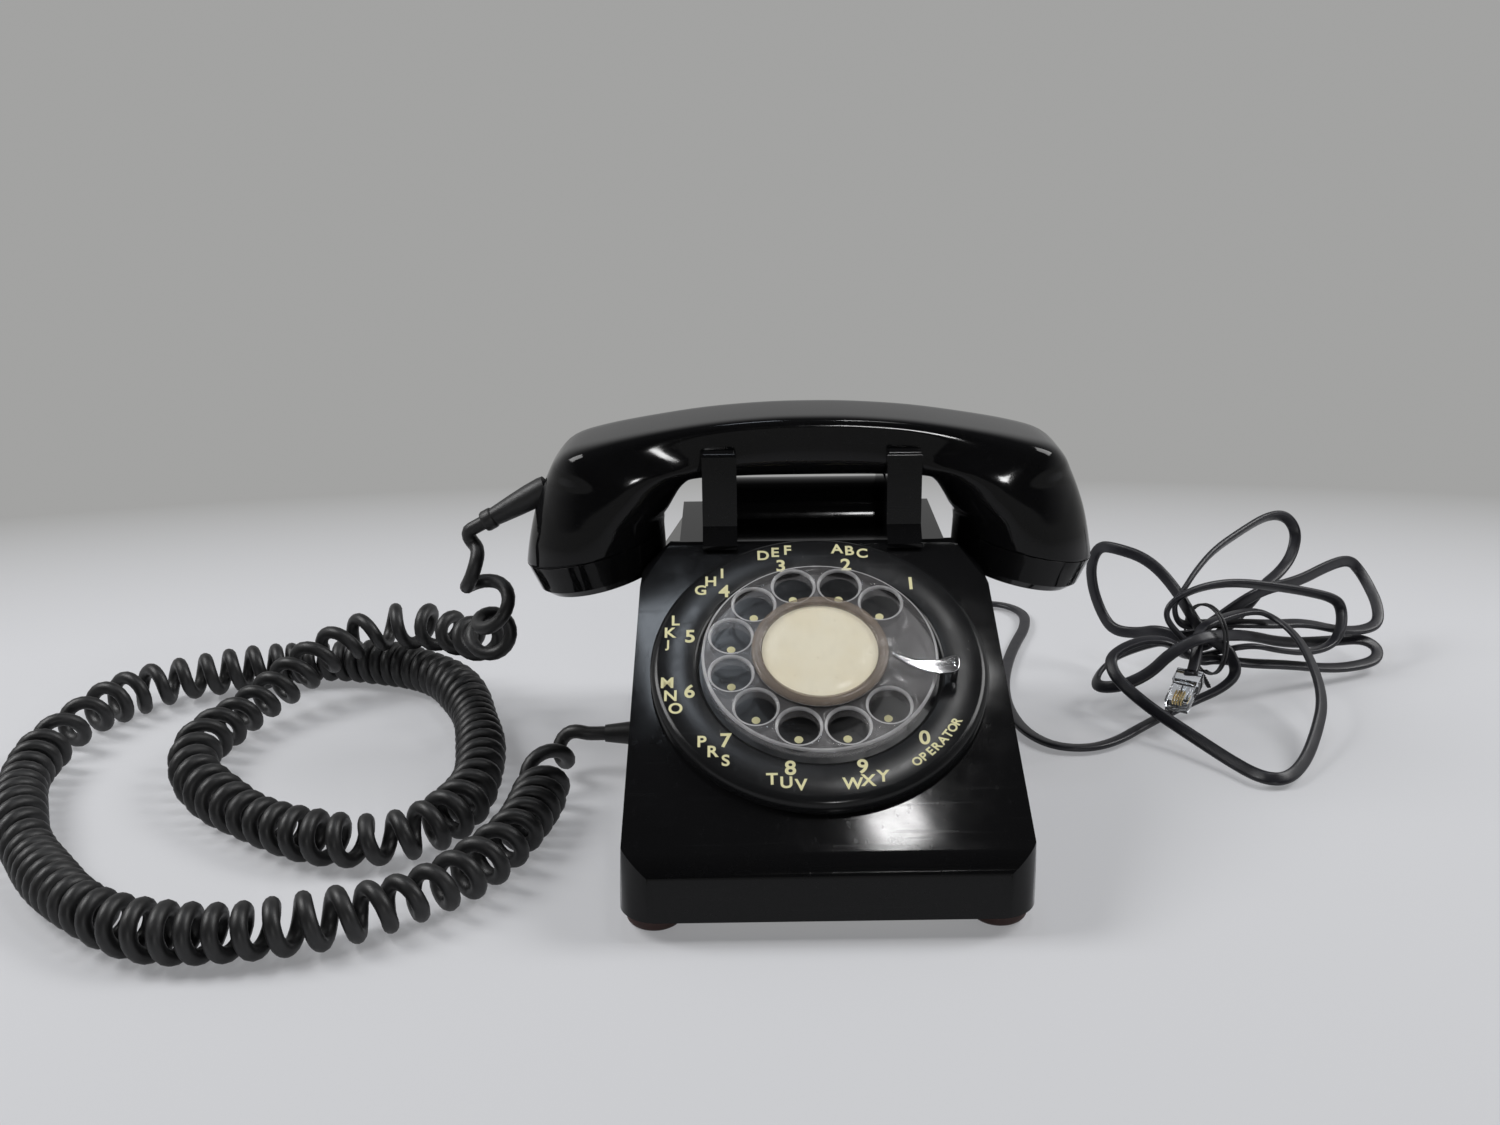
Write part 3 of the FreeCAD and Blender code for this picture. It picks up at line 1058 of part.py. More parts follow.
LOW_RIGHT_LOOP = [
    (168, 75, 34), (178, 79, 33), (196, 97, 26), (216, 107, 18), (241, 119, 14), (257, 125, 13),
    (264, 122, 10), (262, 115, 7), (254, 110, 6), (237, 103, 7), (213, 94, 13), (193, 86, 17),
]
FRONT_LOOP = [
    (178, 85, 20), (169, 81, 20), (158, 80, 30), (147, 81, 31), (137, 78, 29), (130, 75, 25), (130, 68, 21),
    (134, 61, 17), (142, 47, 13), (153, 36, 8), (167, 13, 4), (174, 0, 4), (183, -1, 4), (194, 12, 5),
    (204, 29, 10), (212, 46, 16), (214, 63, 23), (213, 83, 30), (207, 97, 34), (198, 100, 37),
]
LAST_PASS = [
    (176, 86, 37), (169, 82, 34),
]
HANK_ROUTE = (UPPER_LEFT_LOOP + FAR_RIGHT_LOOP + TALL_LOOP + FLAT_LOOP
              + LOW_LEFT_LOOP + LOW_RIGHT_LOOP + FRONT_LOOP + LAST_PASS)
hank_points = [line_points[-1]] + [V(*spot) for spot in HANK_ROUTE]
plug_dir = unit(V(-0.5, -0.8, -0.35))
plug_start = V(163, 67, 20)
hank_points.append(plug_start - plug_dir * (2 * dim.line_radius))
lead_way = unit(line_points[-1] - line_points[-2])
hank_edges = chain(hank_points, lead_way, plug_dir)
hank_edges.append(Part.LineSegment(hank_points[-1], plug_start).toShape())
lead_edges = rounded_run(line_points)
tightest = min(edge.Curve.Radius for edge in hank_edges if edge.Curve.TypeId == "Part::GeomCircle")
print("hank tightest radius", round(tightest, 2))
least_gap("line cord", lead_edges + hank_edges, dim.line_radius)
tube("line_lead", lead_edges, dim.line_radius)
tube("line_hank", hank_edges, dim.line_radius)

tie_ring = doc.addObject("Part::Torus", "tie_ring")
tie_ring.setExpression("Radius1", bound("tie_radius"))
tie_ring.setExpression("Radius2", bound("tie_wire"))
tie_ring.Placement = FreeCAD.Placement(tie_spot, FreeCAD.Rotation(Z_AXIS, waist))
tail_turn = FreeCAD.Rotation(Z_AXIS, V(0.4, -0.5, -0.75))
tie_tail = cylinder("tie_tail", "tie_wire", "tie_radius / 2",
                    FreeCAD.Placement(tie_spot - Z_AXIS * dim.tie_radius, tail_turn))
keep("hank_tie", fuse("hank_tie", [tie_ring, tie_tail]))
plug_turn = FreeCAD.Rotation(Z_AXIS.cross(plug_dir), Z_AXIS, plug_dir, "ZXY")
plug_place = FreeCAD.Placement(plug_start, plug_turn)
keep("line_plug", box("plug", "plug_width", "plug_height", "plug_length",
                      plug_place.multiply(at(-dim.plug_width / 2, -dim.plug_height / 2, 0))))

# Check and write
doc.recompute()
for thing in doc.Objects:
    if "Invalid" in thing.State or "Error" in thing.State:
        raise RuntimeError("%s failed: %s" % (thing.Name, thing.State))
for label, thing in nodes.items():
    if thing.Shape.isNull() or not thing.Shape.isValid():
        raise RuntimeError(label + " has no valid shape")
os.makedirs("parts", exist_ok=True)
for label, thing in nodes.items():
    thing.Shape.exportStep("parts/%s.step" % label)
print(len(nodes), "pieces written")
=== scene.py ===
import math

import bmesh
import bpy
from bpy.props import FloatProperty, FloatVectorProperty, PointerProperty
from mathutils import Matrix, Vector


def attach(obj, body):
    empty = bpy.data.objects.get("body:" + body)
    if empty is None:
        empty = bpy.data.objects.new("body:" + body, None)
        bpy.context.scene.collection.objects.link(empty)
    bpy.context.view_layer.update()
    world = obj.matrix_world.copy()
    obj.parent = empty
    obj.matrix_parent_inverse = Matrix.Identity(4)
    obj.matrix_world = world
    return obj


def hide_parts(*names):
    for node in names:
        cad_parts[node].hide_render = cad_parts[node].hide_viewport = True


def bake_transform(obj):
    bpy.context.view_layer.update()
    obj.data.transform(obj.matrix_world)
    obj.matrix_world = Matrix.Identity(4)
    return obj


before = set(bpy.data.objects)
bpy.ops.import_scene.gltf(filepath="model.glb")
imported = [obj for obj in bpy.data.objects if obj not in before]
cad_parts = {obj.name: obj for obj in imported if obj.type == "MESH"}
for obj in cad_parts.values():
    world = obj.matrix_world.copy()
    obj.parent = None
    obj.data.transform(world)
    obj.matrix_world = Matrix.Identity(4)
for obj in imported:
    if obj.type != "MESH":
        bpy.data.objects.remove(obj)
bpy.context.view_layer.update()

bl_info = {
    "name": "Rotary desk telephone",
    "version": (1, 0, 0),
    "blender": (4, 5, 0),
    "location": "3D View > Sidebar > Telephone",
    "description": "Builds the looks of a black rotary desk telephone round its CAD frame",
    "category": "Add Mesh",
}

MM = 0.001
SAME_SPOT = 1e-6
# Degrees: faces that lie nearer than the first are one face, and edges sharper than the second are rounded
FLAT_ANGLE = 0.6
MOULD_ANGLE = 28


# Materials
class Socket:
    """A node's output that takes part in sums; each sum adds a Math node."""

    def __init__(self, finish, socket):
        self.finish = finish
        self.socket = socket

    def sum(self, operation, one, two):
        return self.finish.node("ShaderNodeMath", {"operation": operation}, {0: one, 1: two})

    def __add__(self, other):
        return self.sum("ADD", self, other)

    def __sub__(self, other):
        return self.sum("SUBTRACT", self, other)

    def __rsub__(self, other):
        return self.sum("SUBTRACT", other, self)

    def __mul__(self, other):
        return self.sum("MULTIPLY", self, other)

    def __pow__(self, other):
        return self.sum("POWER", self, other)

    def __rpow__(self, other):
        return self.sum("POWER", other, self)

    __radd__ = __add__
    __rmul__ = __mul__


class Finish:
    """One material, or the world, and the nodes that give its detail."""

    def __init__(self, name, world=None):
        self.material = world or bpy.data.materials.new(name)
        self.material.use_nodes = True
        self.tree = self.material.node_tree
        self.tree.nodes.clear()

    def node(self, kind, settings=None, inputs=None, out=0):
        made = self.tree.nodes.new(kind)
        for key, value in (settings or {}).items():
            if key == "stops":
                for stop, (place, colour) in zip(made.color_ramp.elements, value):
                    stop.position = place
                    stop.color = colour
            else:
                setattr(made, key, value)
        for key, value in (inputs or {}).items():
            if isinstance(value, Socket):
                self.tree.links.new(value.socket, made.inputs[key])
            else:
                made.inputs[key].default_value = value
        return Socket(self, made.outputs[out]) if made.outputs else None

    def place(self, stretch, turn=(0, 0, 0)):
        spot = self.node("ShaderNodeTexCoord", out="Object")
        return self.node("ShaderNodeMapping", None, {"Vector": spot, "Scale": stretch, "Rotation": turn})

    def noise(self, scale, detail, stretch=(1, 1, 1), turn=(0, 0, 0), rough=0.5):
        spot = self.place(stretch, turn)
        return self.node("ShaderNodeTexNoise", None,
                         {"Vector": spot, "Scale": scale, "Detail": detail, "Roughness": rough})

    def window(self, value, low, high):
        """The value's share of the way from low to high, kept between 0 and 1."""
        return self.node("ShaderNodeMapRange", {"clamp": True}, {0: value, 1: low, 2: high})

    def mix(self, share, one, two):
        return self.node("ShaderNodeMix", {"data_type": "RGBA"}, {0: share, 6: one, 7: two}, 2)

    def bump(self, height, depth, strength):
        return self.node("ShaderNodeBump", None, {"Height": height, "Distance": depth, "Strength": strength})

    def surface(self, **inputs):
        shader = self.node("ShaderNodeBsdfPrincipled", None,
                           {key.replace("_", " "): value for key, value in inputs.items()})
        self.node("ShaderNodeOutputMaterial", None, {"Surface": shader})
        return self


def grey(level):
    return (level, level, level, 1)


def solid(colour):
    return (*colour, 1)


def tinted(colour, share):
    return tuple(part * share for part in colour[:3]) + (1,)


def moulded(name, colour, rough, index, grain, wear=1.0):
    """Gloss moulded plastic: worn patches, fine scratches, dust and, where wanted, a fine grain."""
    made = Finish(name)
    cloud = made.noise(28, 4)
    smudge = made.window(made.noise(75, 3, rough=0.6), 0.45, 0.75)
    scratch = made.window(made.noise(420, 2, (1, 0.05, 1), (0.2, 0.3, 0.6)), 0.62, 0.72)
    cross = made.window(made.noise(380, 2, (0.05, 1, 1), (0.5, 0.1, -0.4)), 0.63, 0.73)
    marks = scratch * 0.5 + cross * 0.5
    dust = made.window(made.noise(1500, 1), 0.72, 0.8)
    worn = made.mix(cloud, tinted(colour, 0.8), tinted(colour, 1.25))
    shade = made.mix(marks * (0.025 * wear) + dust * (0.05 * wear), worn, (0.16, 0.16, 0.165, 1))
    height = made.noise(2600, 2) * grain + marks * (-0.25 * wear)
    gloss = smudge * (0.09 * wear) + marks * (0.10 * wear) + rough
    return made.surface(Base_Color=shade, Roughness=gloss, IOR=index,
                        Normal=made.bump(height, 0.00004, 0.35))


def rubber(name, colour, rough, grain=1.0):
    """Matt rubber or soft vinyl with a dusty bloom."""
    made = Finish(name)
    bloom = made.window(made.noise(140, 4, rough=0.65), 0.5, 0.8)
    fine = made.noise(3200, 2)
    shade = made.mix(bloom * 0.55, colour, tinted(colour, 2.4))
    return made.surface(Base_Color=shade, Roughness=bloom * 0.18 + fine * 0.06 + rough,
                        Normal=made.bump(fine * grain, 0.00003, 0.5))


def metal(name, colour, rough, stretch=(1, 1, 0.06), spots=0.2):
    """Worked metal with a drawn grain and dull spots."""
    made = Finish(name)
    drawn = made.noise(900, 3, stretch)
    dull = made.window(made.noise(120, 4), 0.5, 0.8)
    shade = made.mix(dull * spots, colour, tinted(colour, 0.55))
    return made.surface(Base_Color=shade, Metallic=1.0, Roughness=drawn * 0.12 + dull * spots * 0.5 + rough,
                        Normal=made.bump(drawn, 0.00002, 0.3))


def clear(name, colour, index, haze):
    """Clear plastic with faint swirl marks."""
    made = Finish(name)
    swirl = made.window(made.noise(260, 3, (1, 0.12, 1), (0.1, 0.2, 0.8)), 0.55, 0.75)
    wave = made.noise(55, 2)
    shade = made.mix(swirl * 0.25, colour, tinted(colour, 0.93))
    return made.surface(Base_Color=shade, Roughness=swirl * 0.06 + haze, IOR=index, Transmission_Weight=1.0,
                        Normal=made.bump(wave, 0.0002, 0.12))


def veiled(name, colour, face, edge, haze):
    """Thin clear plastic, plain to see through, with swirl marks, a faint veil and edges lightened as
    painted reflection.
    """
    made = Finish(name)
    swirl = made.window(made.noise(240, 3, (1, 0.12, 1), (0.1, 0.2, 0.8)), 0.5, 0.8)
    cloud = made.noise(45, 3)
    aslant = made.node("ShaderNodeLayerWeight", None, {"Blend": 0.4}, "Facing")
    # Painted reflection: the cover grows towards edges seen at a slant, so the colour shows there as a light
    # rim.
    cover = aslant ** 2.2 * (edge - face) + cloud * (0.5 * face) + swirl * (0.4 * face) + 0.6 * face
    shade = made.mix(cloud, tinted(colour, 0.85), colour)
    return made.surface(Base_Color=shade, Roughness=swirl * 0.08 + haze, IOR=1.49, Alpha=cover,
                        Normal=made.bump(cloud, 0.0002, 0.1))


def card_paper(name, colour):
    """Old card: fibres, a few specks and browner stains."""
    made = Finish(name)
    fibre = made.noise(1800, 4, (1, 0.25, 1), (0, 0, 0.5))
    stain = made.window(made.noise(70, 4), 0.42, 0.8)
    speck = made.window(made.noise(620, 1), 0.74, 0.8)
    shade = made.mix(stain * 0.45, colour, (colour[0] * 0.9, colour[1] * 0.82, colour[2] * 0.66, 1))
    shade = made.mix(speck * 0.4, shade, (0.3, 0.22, 0.13, 1))
    return made.surface(Base_Color=shade, Roughness=0.75, Normal=made.bump(fibre, 0.00004, 0.4))


def wound(name, colour, turn_count):
    """A winding: fine turns side by side along the object's X axis, with painted shade between the turns."""
    made = Finish(name)
    spot = made.place((turn_count, 0, 0))
    turns = made.node("ShaderNodeTexWave", {"wave_profile": "SIN"},
                      {"Vector": spot, "Scale": 1.0, "Distortion": 0.4})
    # Painted shade: the colour darkens in the grooves between the turns.
    shade = made.mix(turns, tinted(colour, 0.4), colour)
    return made.surface(Base_Color=shade, Metallic=0.6, Roughness=0.35, Normal=made.bump(turns, 0.0002, 0.7))


class Finishes:
    """Every finish of the telephone, made once."""

    def __init__(self, look):
        self.shell = moulded("shell_black", solid(look.shell_colour), 0.07, 1.29, 0, 0.4)
        self.handset = moulded("handset_black", solid(look.shell_colour), 0.07, 1.30, 0, 0.4)
        self.plate = moulded("plate_black", solid(look.plate_colour), 0.17, 1.31, 0.4)
        self.legend = moulded("legend_cream", solid(look.legend_colour), 0.45, 1.45, 0.3, 0.5)
        # The wheel's grey veil is partly haze and partly painted sheen of the clear plastic.
        self.wheel = veiled("wheel_clear", solid(look.wheel_colour), 0.11, 0.24, 0.07)
        self.wheel_wall = veiled("wheel_wall", solid(look.wheel_colour), 0.03, 0.10, 0.08)
        # Painted highlight: a near-white copy of the wheel's finish for the rounded upper edges of rim and
        # holes.
        self.wheel_edge = veiled("wheel_edge", (0.88, 0.87, 0.88, 1), 0.45, 0.85, 0.05)
        self.window = veiled("window_clear", (0.95, 0.90, 0.78, 1), 0.06, 0.3, 0.06)
        self.ring = veiled("ring_clear", (0.30, 0.24, 0.19, 1), 0.45, 0.9, 0.14)
        self.plug = clear("plug_clear", (0.93, 0.95, 0.97, 1), 1.49, 0.04)
        self.card = card_paper("card_cream", solid(look.card_colour))
        self.coil = rubber("coil_rubber", solid(look.coil_colour), 0.42)
        self.line = rubber("line_vinyl", solid(look.line_colour), 0.34, 0.4)
        self.foot = rubber("foot_rubber", solid(look.foot_colour), 0.6)
        self.tie = rubber("tie_sleeve", (0.02, 0.02, 0.022, 1), 0.4)
        self.chrome = metal("stop_chrome", (0.86, 0.86, 0.88, 1), 0.06, (0.1, 1, 1), 0.08)
        self.steel = metal("zinc_steel", (0.62, 0.62, 0.60, 1), 0.3)
        self.plated = metal("base_zinc", (0.55, 0.53, 0.47, 1), 0.36, (1, 0.08, 1), 0.35)
        self.brass = metal("brass", (0.78, 0.58, 0.25, 1), 0.24)
        self.gong = metal("gong_brass", (0.80, 0.66, 0.36, 1), 0.18, (1, 1, 1), 0.15)
        self.gold = metal("contact_gold", (0.95, 0.72, 0.30, 1), 0.2)
        self.winding = wound("coil_winding", (0.45, 0.16, 0.06, 1), 900)
        self.block = moulded("block_brown", (0.10, 0.045, 0.02, 1), 0.4, 1.45, 0.8)
        self.nylon = moulded("nylon_white", (0.62, 0.60, 0.54, 1), 0.4, 1.45, 0.4)


# Shapes
def linked(name, data):
    """A new object of the data, in the scene."""
    made = bpy.data.objects.new(name, data)
    bpy.context.scene.collection.objects.link(made)
    return made


def poured(bm, mesh):
    """Add a mesh to bm; the mesh itself goes."""
    bm.from_mesh(mesh)
    bpy.data.meshes.remove(mesh)


def block(bm, size, middle, turn=0):
    """A box of a size in millimetres, turned about X and put in its place."""
    verts = bmesh.ops.create_cube(bm, size=1)["verts"]
    bmesh.ops.scale(bm, vec=Vector(size) * MM, verts=verts)
    bmesh.ops.rotate(bm, cent=(0, 0, 0), matrix=Matrix.Rotation(math.radians(turn), 3, "X"), verts=verts)
    bmesh.ops.translate(bm, vec=Vector(middle) * MM, verts=verts)


def settle(name, mesh, finish, body, nodes, sharp):
    """A finished piece: its object is at the origin and its place is in its mesh."""
    mesh.name = name
    mesh.shade_smooth()
    mesh.set_sharp_from_angle(angle=math.radians(sharp))
    mesh.materials.clear()
    mesh.materials.append(finish.material)
    piece = linked(name, mesh)
    if body:
        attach(piece, body)
    if nodes:
        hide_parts(*nodes)
    return piece


def piece_of(name, bm, finish, body, nodes=(), sharp=40):
    mesh = bpy.data.meshes.new(name)
    bm.to_mesh(mesh)
    bm.free()
    return settle(name, mesh, finish, body, nodes, sharp)


def sharper(bm, angle):
    """The edges whose two faces meet at more than the angle, in degrees."""
    limit = math.radians(angle)
    return [edge for edge in bm.edges if len(edge.link_faces) == 2 and edge.calc_face_angle(0) > limit]


def rounded(bm, width, segments, angle=30):
    """Bevel every edge that is sharper than the angle."""
    bmesh.ops.bevel(bm, geom=sharper(bm, angle), offset=width, offset_type="OFFSET", affect="EDGES",
                    segments=segments, profile=0.5, clamp_overlap=True, material=-1)


def turned(profile, steps, place, closed=False):
    """Spin a run of radius and height about Z, and put it in its place."""
    bm = bmesh.new()
    verts = [bm.verts.new((across, 0, up)) for across, up in profile]
    edges = [bm.edges.new(pair) for pair in zip(verts, verts[1:])]
    if closed:
        edges.append(bm.edges.new((verts[-1], verts[0])))
    bmesh.ops.spin(bm, geom=verts + edges, cent=(0, 0, 0), axis=(0, 0, 1), angle=2 * math.pi, steps=steps,
                   use_merge=True)
    bmesh.ops.remove_doubles(bm, verts=bm.verts, dist=SAME_SPOT)
    bmesh.ops.recalc_face_normals(bm, faces=bm.faces)
    bmesh.ops.transform(bm, matrix=place, verts=bm.verts)
    return bm


def scaled(run):
    return [tuple(part * MM for part in spot) for spot in run]


def pointing(spot, way):
    """A place whose Z axis runs along the way and whose Y axis is as near to upright as it can be."""
    along = Vector(way).normalized()
    across = Vector((0, 0, 1)).cross(along).normalized()
    turn = Matrix((across, along.cross(across), along)).transposed().to_4x4()
    return Matrix.Translation(Vector(spot)) @ turn


def drawn_curve(name, kind, points, resolution=12):
    """A curve object of one open spline."""
    data = bpy.data.curves.new(name, "CURVE")
    data.dimensions = "3D"
    data.resolution_u = resolution
    spline = data.splines.new(kind)
    spline.points.add(len(points) - 1)
    for point, spot in zip(spline.points, points):
        point.co = (*spot, 1)
    if kind == "NURBS":
        spline.order_u = 3
        spline.use_endpoint_u = True
    return linked(name, data)


def mesh_of(thing):
    """The mesh that a curve or text object gives; the object itself goes."""
    seen = bpy.context.evaluated_depsgraph_get()
    mesh = bpy.data.meshes.new_from_object(thing.evaluated_get(seen), depsgraph=seen)
    bpy.data.objects.remove(thing)
    return mesh


def smooth_line(points, resolution):
    """Points read along the NURBS spline of a route."""
    mesh = mesh_of(drawn_curve("route", "NURBS", points, resolution))
    return [vert.co.copy() for vert in mesh.vertices]


def tube_mesh(points, radius, sides):
    made = drawn_curve("tube", "POLY", points)
    made.data.bevel_depth = radius
    made.data.bevel_resolution = sides
    made.data.use_fill_caps = True
    return mesh_of(made)


def length_of(points):
    return sum((two - one).length for one, two in zip(points, points[1:]))


def softened_copy(node, name, finish, body, width, segments):
    """A copy of a CAD node whose sharp edges are rounded as a mould rounds them."""
    bm = bmesh.new()
    bm.from_mesh(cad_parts[node].data)
    bmesh.ops.remove_doubles(bm, verts=bm.verts, dist=SAME_SPOT)
    bmesh.ops.dissolve_limit(bm, angle_limit=math.radians(FLAT_ANGLE), verts=bm.verts, edges=bm.edges)
    rounded(bm, width, segments, MOULD_ANGLE)
    piece = piece_of(name, bm, finish, body, (node,))
    even = piece.modifiers.new("even_normals", "WEIGHTED_NORMAL")
    even.keep_sharp = True
    return piece


# Cords: the routes of the CAD solids, in millimetres
COIL_HIGH = 33.0
COIL_LOW = 10.6
WIRE_ACROSS = 5.6
BOOT_END = Vector((-127.52, 44, 98.22))
BOOT_WAY = Vector((-0.88, 0, -0.475))
ENTRY_TIP = Vector((-81.4, 22, 17))
COIL_FLAT = [
    (-237, 58), (-246, 32), (-241, 6), (-225, -16), (-206, -34), (-186, -47), (-164, -54), (-144, -48),
    (-131, -30), (-128, -4), (-131, 24), (-137, 50), (-145, 76), (-158, 98), (-179, 114), (-205, 121),
    (-232, 117), (-260, 108), (-284, 95), (-299, 72), (-305, 45), (-306, 18), (-300, -12), (-287, -42),
    (-268, -70), (-247, -94), (-222, -111), (-194, -114), (-166, -107), (-140, -96), (-120, -76),
    (-108, -50), (-103, -22), (-103, 0),
]
COIL_ROUTE = [
    (-135, 44, 86), (-129, 44, 76), (-126, 45, 63), (-127, 50, 51), (-131, 62, 42), (-139, 78, 36),
    (-150, 93, COIL_HIGH), (-167, 105, COIL_HIGH), (-188, 108, 31), (-208, 98, 25), (-224, 80, 16),
    *((x, y, COIL_LOW) for x, y in COIL_FLAT), (-102, 13, 12), (-98, 20, 15),
]
FLOOR = 2.5
LINE_EXIT = (34, 107, 14)
LEAD_ROUTE = [
    LINE_EXIT, (34, 116, 14), (36, 128, 10.5), (43, 144, 5.5), (53, 166, FLOOR), (66, 189, FLOOR),
    (84, 206, FLOOR), (104, 208, FLOOR), (115, 194, FLOOR), (112, 173, FLOOR), (103, 150, FLOOR),
    (95, 125, FLOOR), (89, 98, FLOOR), (87, 71, FLOOR), (91, 47, FLOOR), (102, 33, FLOOR), (121, 34, FLOOR),
    (144, 55, 4), (163, 67, 7), (178, 72, 11), (186, 77, 16), (184, 82, 23),
]
UPPER_LEFT_LOOP = [
    (181, 84, 26), (172, 86, 31), (165, 106, 45), (155, 118, 55), (142, 129, 57), (137, 137, 55),
    (134, 138, 46), (135, 135, 35), (139, 130, 24), (143, 123, 19), (152, 114, 21), (158, 105, 26),
]
FAR_RIGHT_LOOP = [
    (166, 97, 25), (176, 102, 26), (203, 111, 42), (225, 126, 40), (247, 143, 43), (259, 152, 42),
    (264, 152, 37), (267, 146, 31), (268, 136, 25), (266, 128, 19), (257, 122, 18), (244, 117, 20),
    (225, 109, 27), (209, 102, 29), (192, 96, 32),
]
TALL_LOOP = [
    (174, 96, 32), (164, 94, 32), (161, 95, 41), (166, 98, 47), (173, 106, 53), (183, 116, 59),
    (197, 128, 63), (214, 142, 67), (226, 150, 65), (232, 150, 57), (229, 144, 48), (222, 137, 42),
    (210, 125, 39), (201, 115, 34),
]
FLAT_LOOP = [
    (177, 89, 25), (168, 85, 25), (157, 86, 36), (156, 88, 42), (162, 90, 47), (173, 94, 50),
    (189, 102, 49), (207, 108, 45), (226, 114, 40), (241, 118, 35), (244, 117, 30), (242, 110, 23),
    (236, 105, 17), (222, 97, 17), (207, 91, 21), (193, 86, 26),
]
LOW_LEFT_LOOP = [
    (176, 92, 19), (166, 88, 19), (158, 88, 27), (147, 89, 24), (136, 90, 19), (129, 86, 15), (125, 79, 12),
    (127, 73, 12), (135, 68, 15), (146, 69, 20), (155, 72, 28),
]
LOW_RIGHT_LOOP = [
    (168, 75, 34), (178, 79, 33), (196, 97, 26), (216, 107, 18), (241, 119, 14), (257, 125, 13),
    (264, 122, 10), (262, 115, 7), (254, 110, 6), (237, 103, 7), (213, 94, 13), (193, 86, 17),
]
FRONT_LOOP = [
    (178, 85, 20), (169, 81, 20), (158, 80, 30), (147, 81, 31), (137, 78, 29), (130, 75, 25), (130, 68, 21),
    (134, 61, 17), (142, 47, 13), (153, 36, 8), (167, 13, 4), (174, 0, 4), (183, -1, 4), (194, 12, 5),
    (204, 29, 10), (212, 46, 16), (214, 63, 23), (213, 83, 30), (207, 97, 34), (198, 100, 37),
]
LAST_PASS = [(176, 86, 37), (169, 82, 34)]
PLUG_START = Vector((163, 67, 20))
PLUG_WAY = Vector((-0.5, -0.8, -0.35)).normalized()
TIE_SPOT = Vector((175, 89, 28))
TIE_WAY = Vector((0.96, 0.27, 0)).normalized()
TIE_RADIUS = 15.6
TIE_WIRE = 0.55
TIE_TURNS = 2
TWIST_WAY = Vector((0.4, -0.5, -0.75)).normalized()
# The blocks of the plug: size and middle in millimetres, and turn about X in degrees; the last is its latch
PLUG_BLOCKS = [
    ((9.6, 6.2, 13.8), (0, 0, 14), 0), ((11.2, 6.4, 7.6), (0, 0.2, 4.2), 0),
    ((3.2, 0.9, 15), (0, -4.1, 10.5), 6),
]
PIN_COUNT = 4
PIN_STEP = 1.1


def powered(part, power):
    """A power of the part's size, with the part's own sign."""
    return math.copysign(abs(part) ** power, part)


def eased(share):
    share = min(1.0, max(0.0, share))
    return share * share * (3 - 2 * share)


# Spacing of the curls along the route: where a stretch ends, and the spacing in it
SPACINGS = [
    (87, 24), (150, 16), (250, 11), (300, 14), (420, 9), (450, 11), (530, 8), (640, 6), (720, 12), (760, 20),
    (860, 8.5), (905, 6.2), (1020, 8.9), (1075, 11.5), (1110, 9), (1164, 26),
]


def waves(place, *rows):
    """A sum of slow waves, each given by its height, its rate and its start."""
    return sum(height * math.sin(rate * place + start) for height, rate, start in rows)


class CurlyLine:
    """The wire of the curly cord: it winds round the route, tight in the pile and open where pulled."""

    STEPS = 20
    EASE = 20 * MM
    END_CLEAR = WIRE_ACROSS * MM
    BLEND = 14
    FLOOR_GAP = 0.25 * MM
    CURL_GAP = 0.3

    def __init__(self, look):
        way = BOOT_WAY.normalized()
        ends = [BOOT_END + way * (share * WIRE_ACROSS) for share in (0, 0.75, 1.4)]
        tail = [ENTRY_TIP - Vector((share * WIRE_ACROSS, 0, 0)) for share in (2, 1, 0)]
        route = scaled(ends + COIL_ROUTE + tail)
        self.line = smooth_line(route, 24)
        self.swing = look.coil_radius
        self.wire = look.coil_wire / 2
        self.along = [0.0]
        for one, two in zip(self.line, self.line[1:]):
            self.along.append(self.along[-1] + (two - one).length)
        self.length = self.along[-1]
        self.turns = [0.0]
        for one, two in zip(self.along, self.along[1:]):
            step = self.spacing((one + two) / 2) * look.curl_spacing
            self.turns.append(self.turns[-1] + (two - one) / step)

    def spacing(self, along):
        """The distance from one curl to the next: it changes slowly, and no two curls are quite alike."""
        spot = along / self.length * SPACINGS[-1][0]
        found = SPACINGS[0][1]
        for (end, here), (_, after) in zip(SPACINGS, SPACINGS[1:]):
            found += (after - here) * eased((spot - end + self.BLEND / 2) / self.BLEND)
        uneven = waves(spot, (0.12, 0.083, 0.6), (0.10, 0.031, 2.1))
        return max(found * (1 + uneven), WIRE_ACROSS + self.CURL_GAP) * MM

    def points(self):
        """Points of the wire, a fixed number for each turn."""
        count = int(self.turns[-1] * self.STEPS)
        spots = []
        index = 0
        side = Vector((0, 1, 0)).cross(self.line[1] - self.line[0]).normalized()
        for k in range(count + 1):
            turn = self.turns[-1] * k / count
            while index < len(self.turns) - 2 and self.turns[index + 1] < turn:
                index += 1
            share = (turn - self.turns[index]) / (self.turns[index + 1] - self.turns[index])
            middle = self.line[index].lerp(self.line[index + 1], share)
            along = self.along[index] + (self.along[index + 1] - self.along[index]) * share
            way = (self.line[index + 1] - self.line[index]).normalized()
            side = (side - way * side.dot(way)).normalized()
            begun = eased((along - self.END_CLEAR) / self.EASE)
            slack = begun * eased((self.length - self.END_CLEAR - along) / self.EASE)
            place = along / MM
            swing = self.swing * slack * (0.95 + waves(place, (0.06, 0.11, 0), (0.04, 0.047, 1)))
            lean = slack * waves(place, (1.3, 0.021, 0.4), (0.8, 0.067, 0)) * MM
            angle = 2 * math.pi * turn
            curl = side * (swing * math.cos(angle)) + way.cross(side) * (swing * math.sin(angle))
            spot = middle + curl + way * (lean * math.cos(angle + 0.7))
            spot.z = max(spot.z, self.wire + self.FLOOR_GAP)
            spots.append(spot)
        return spots


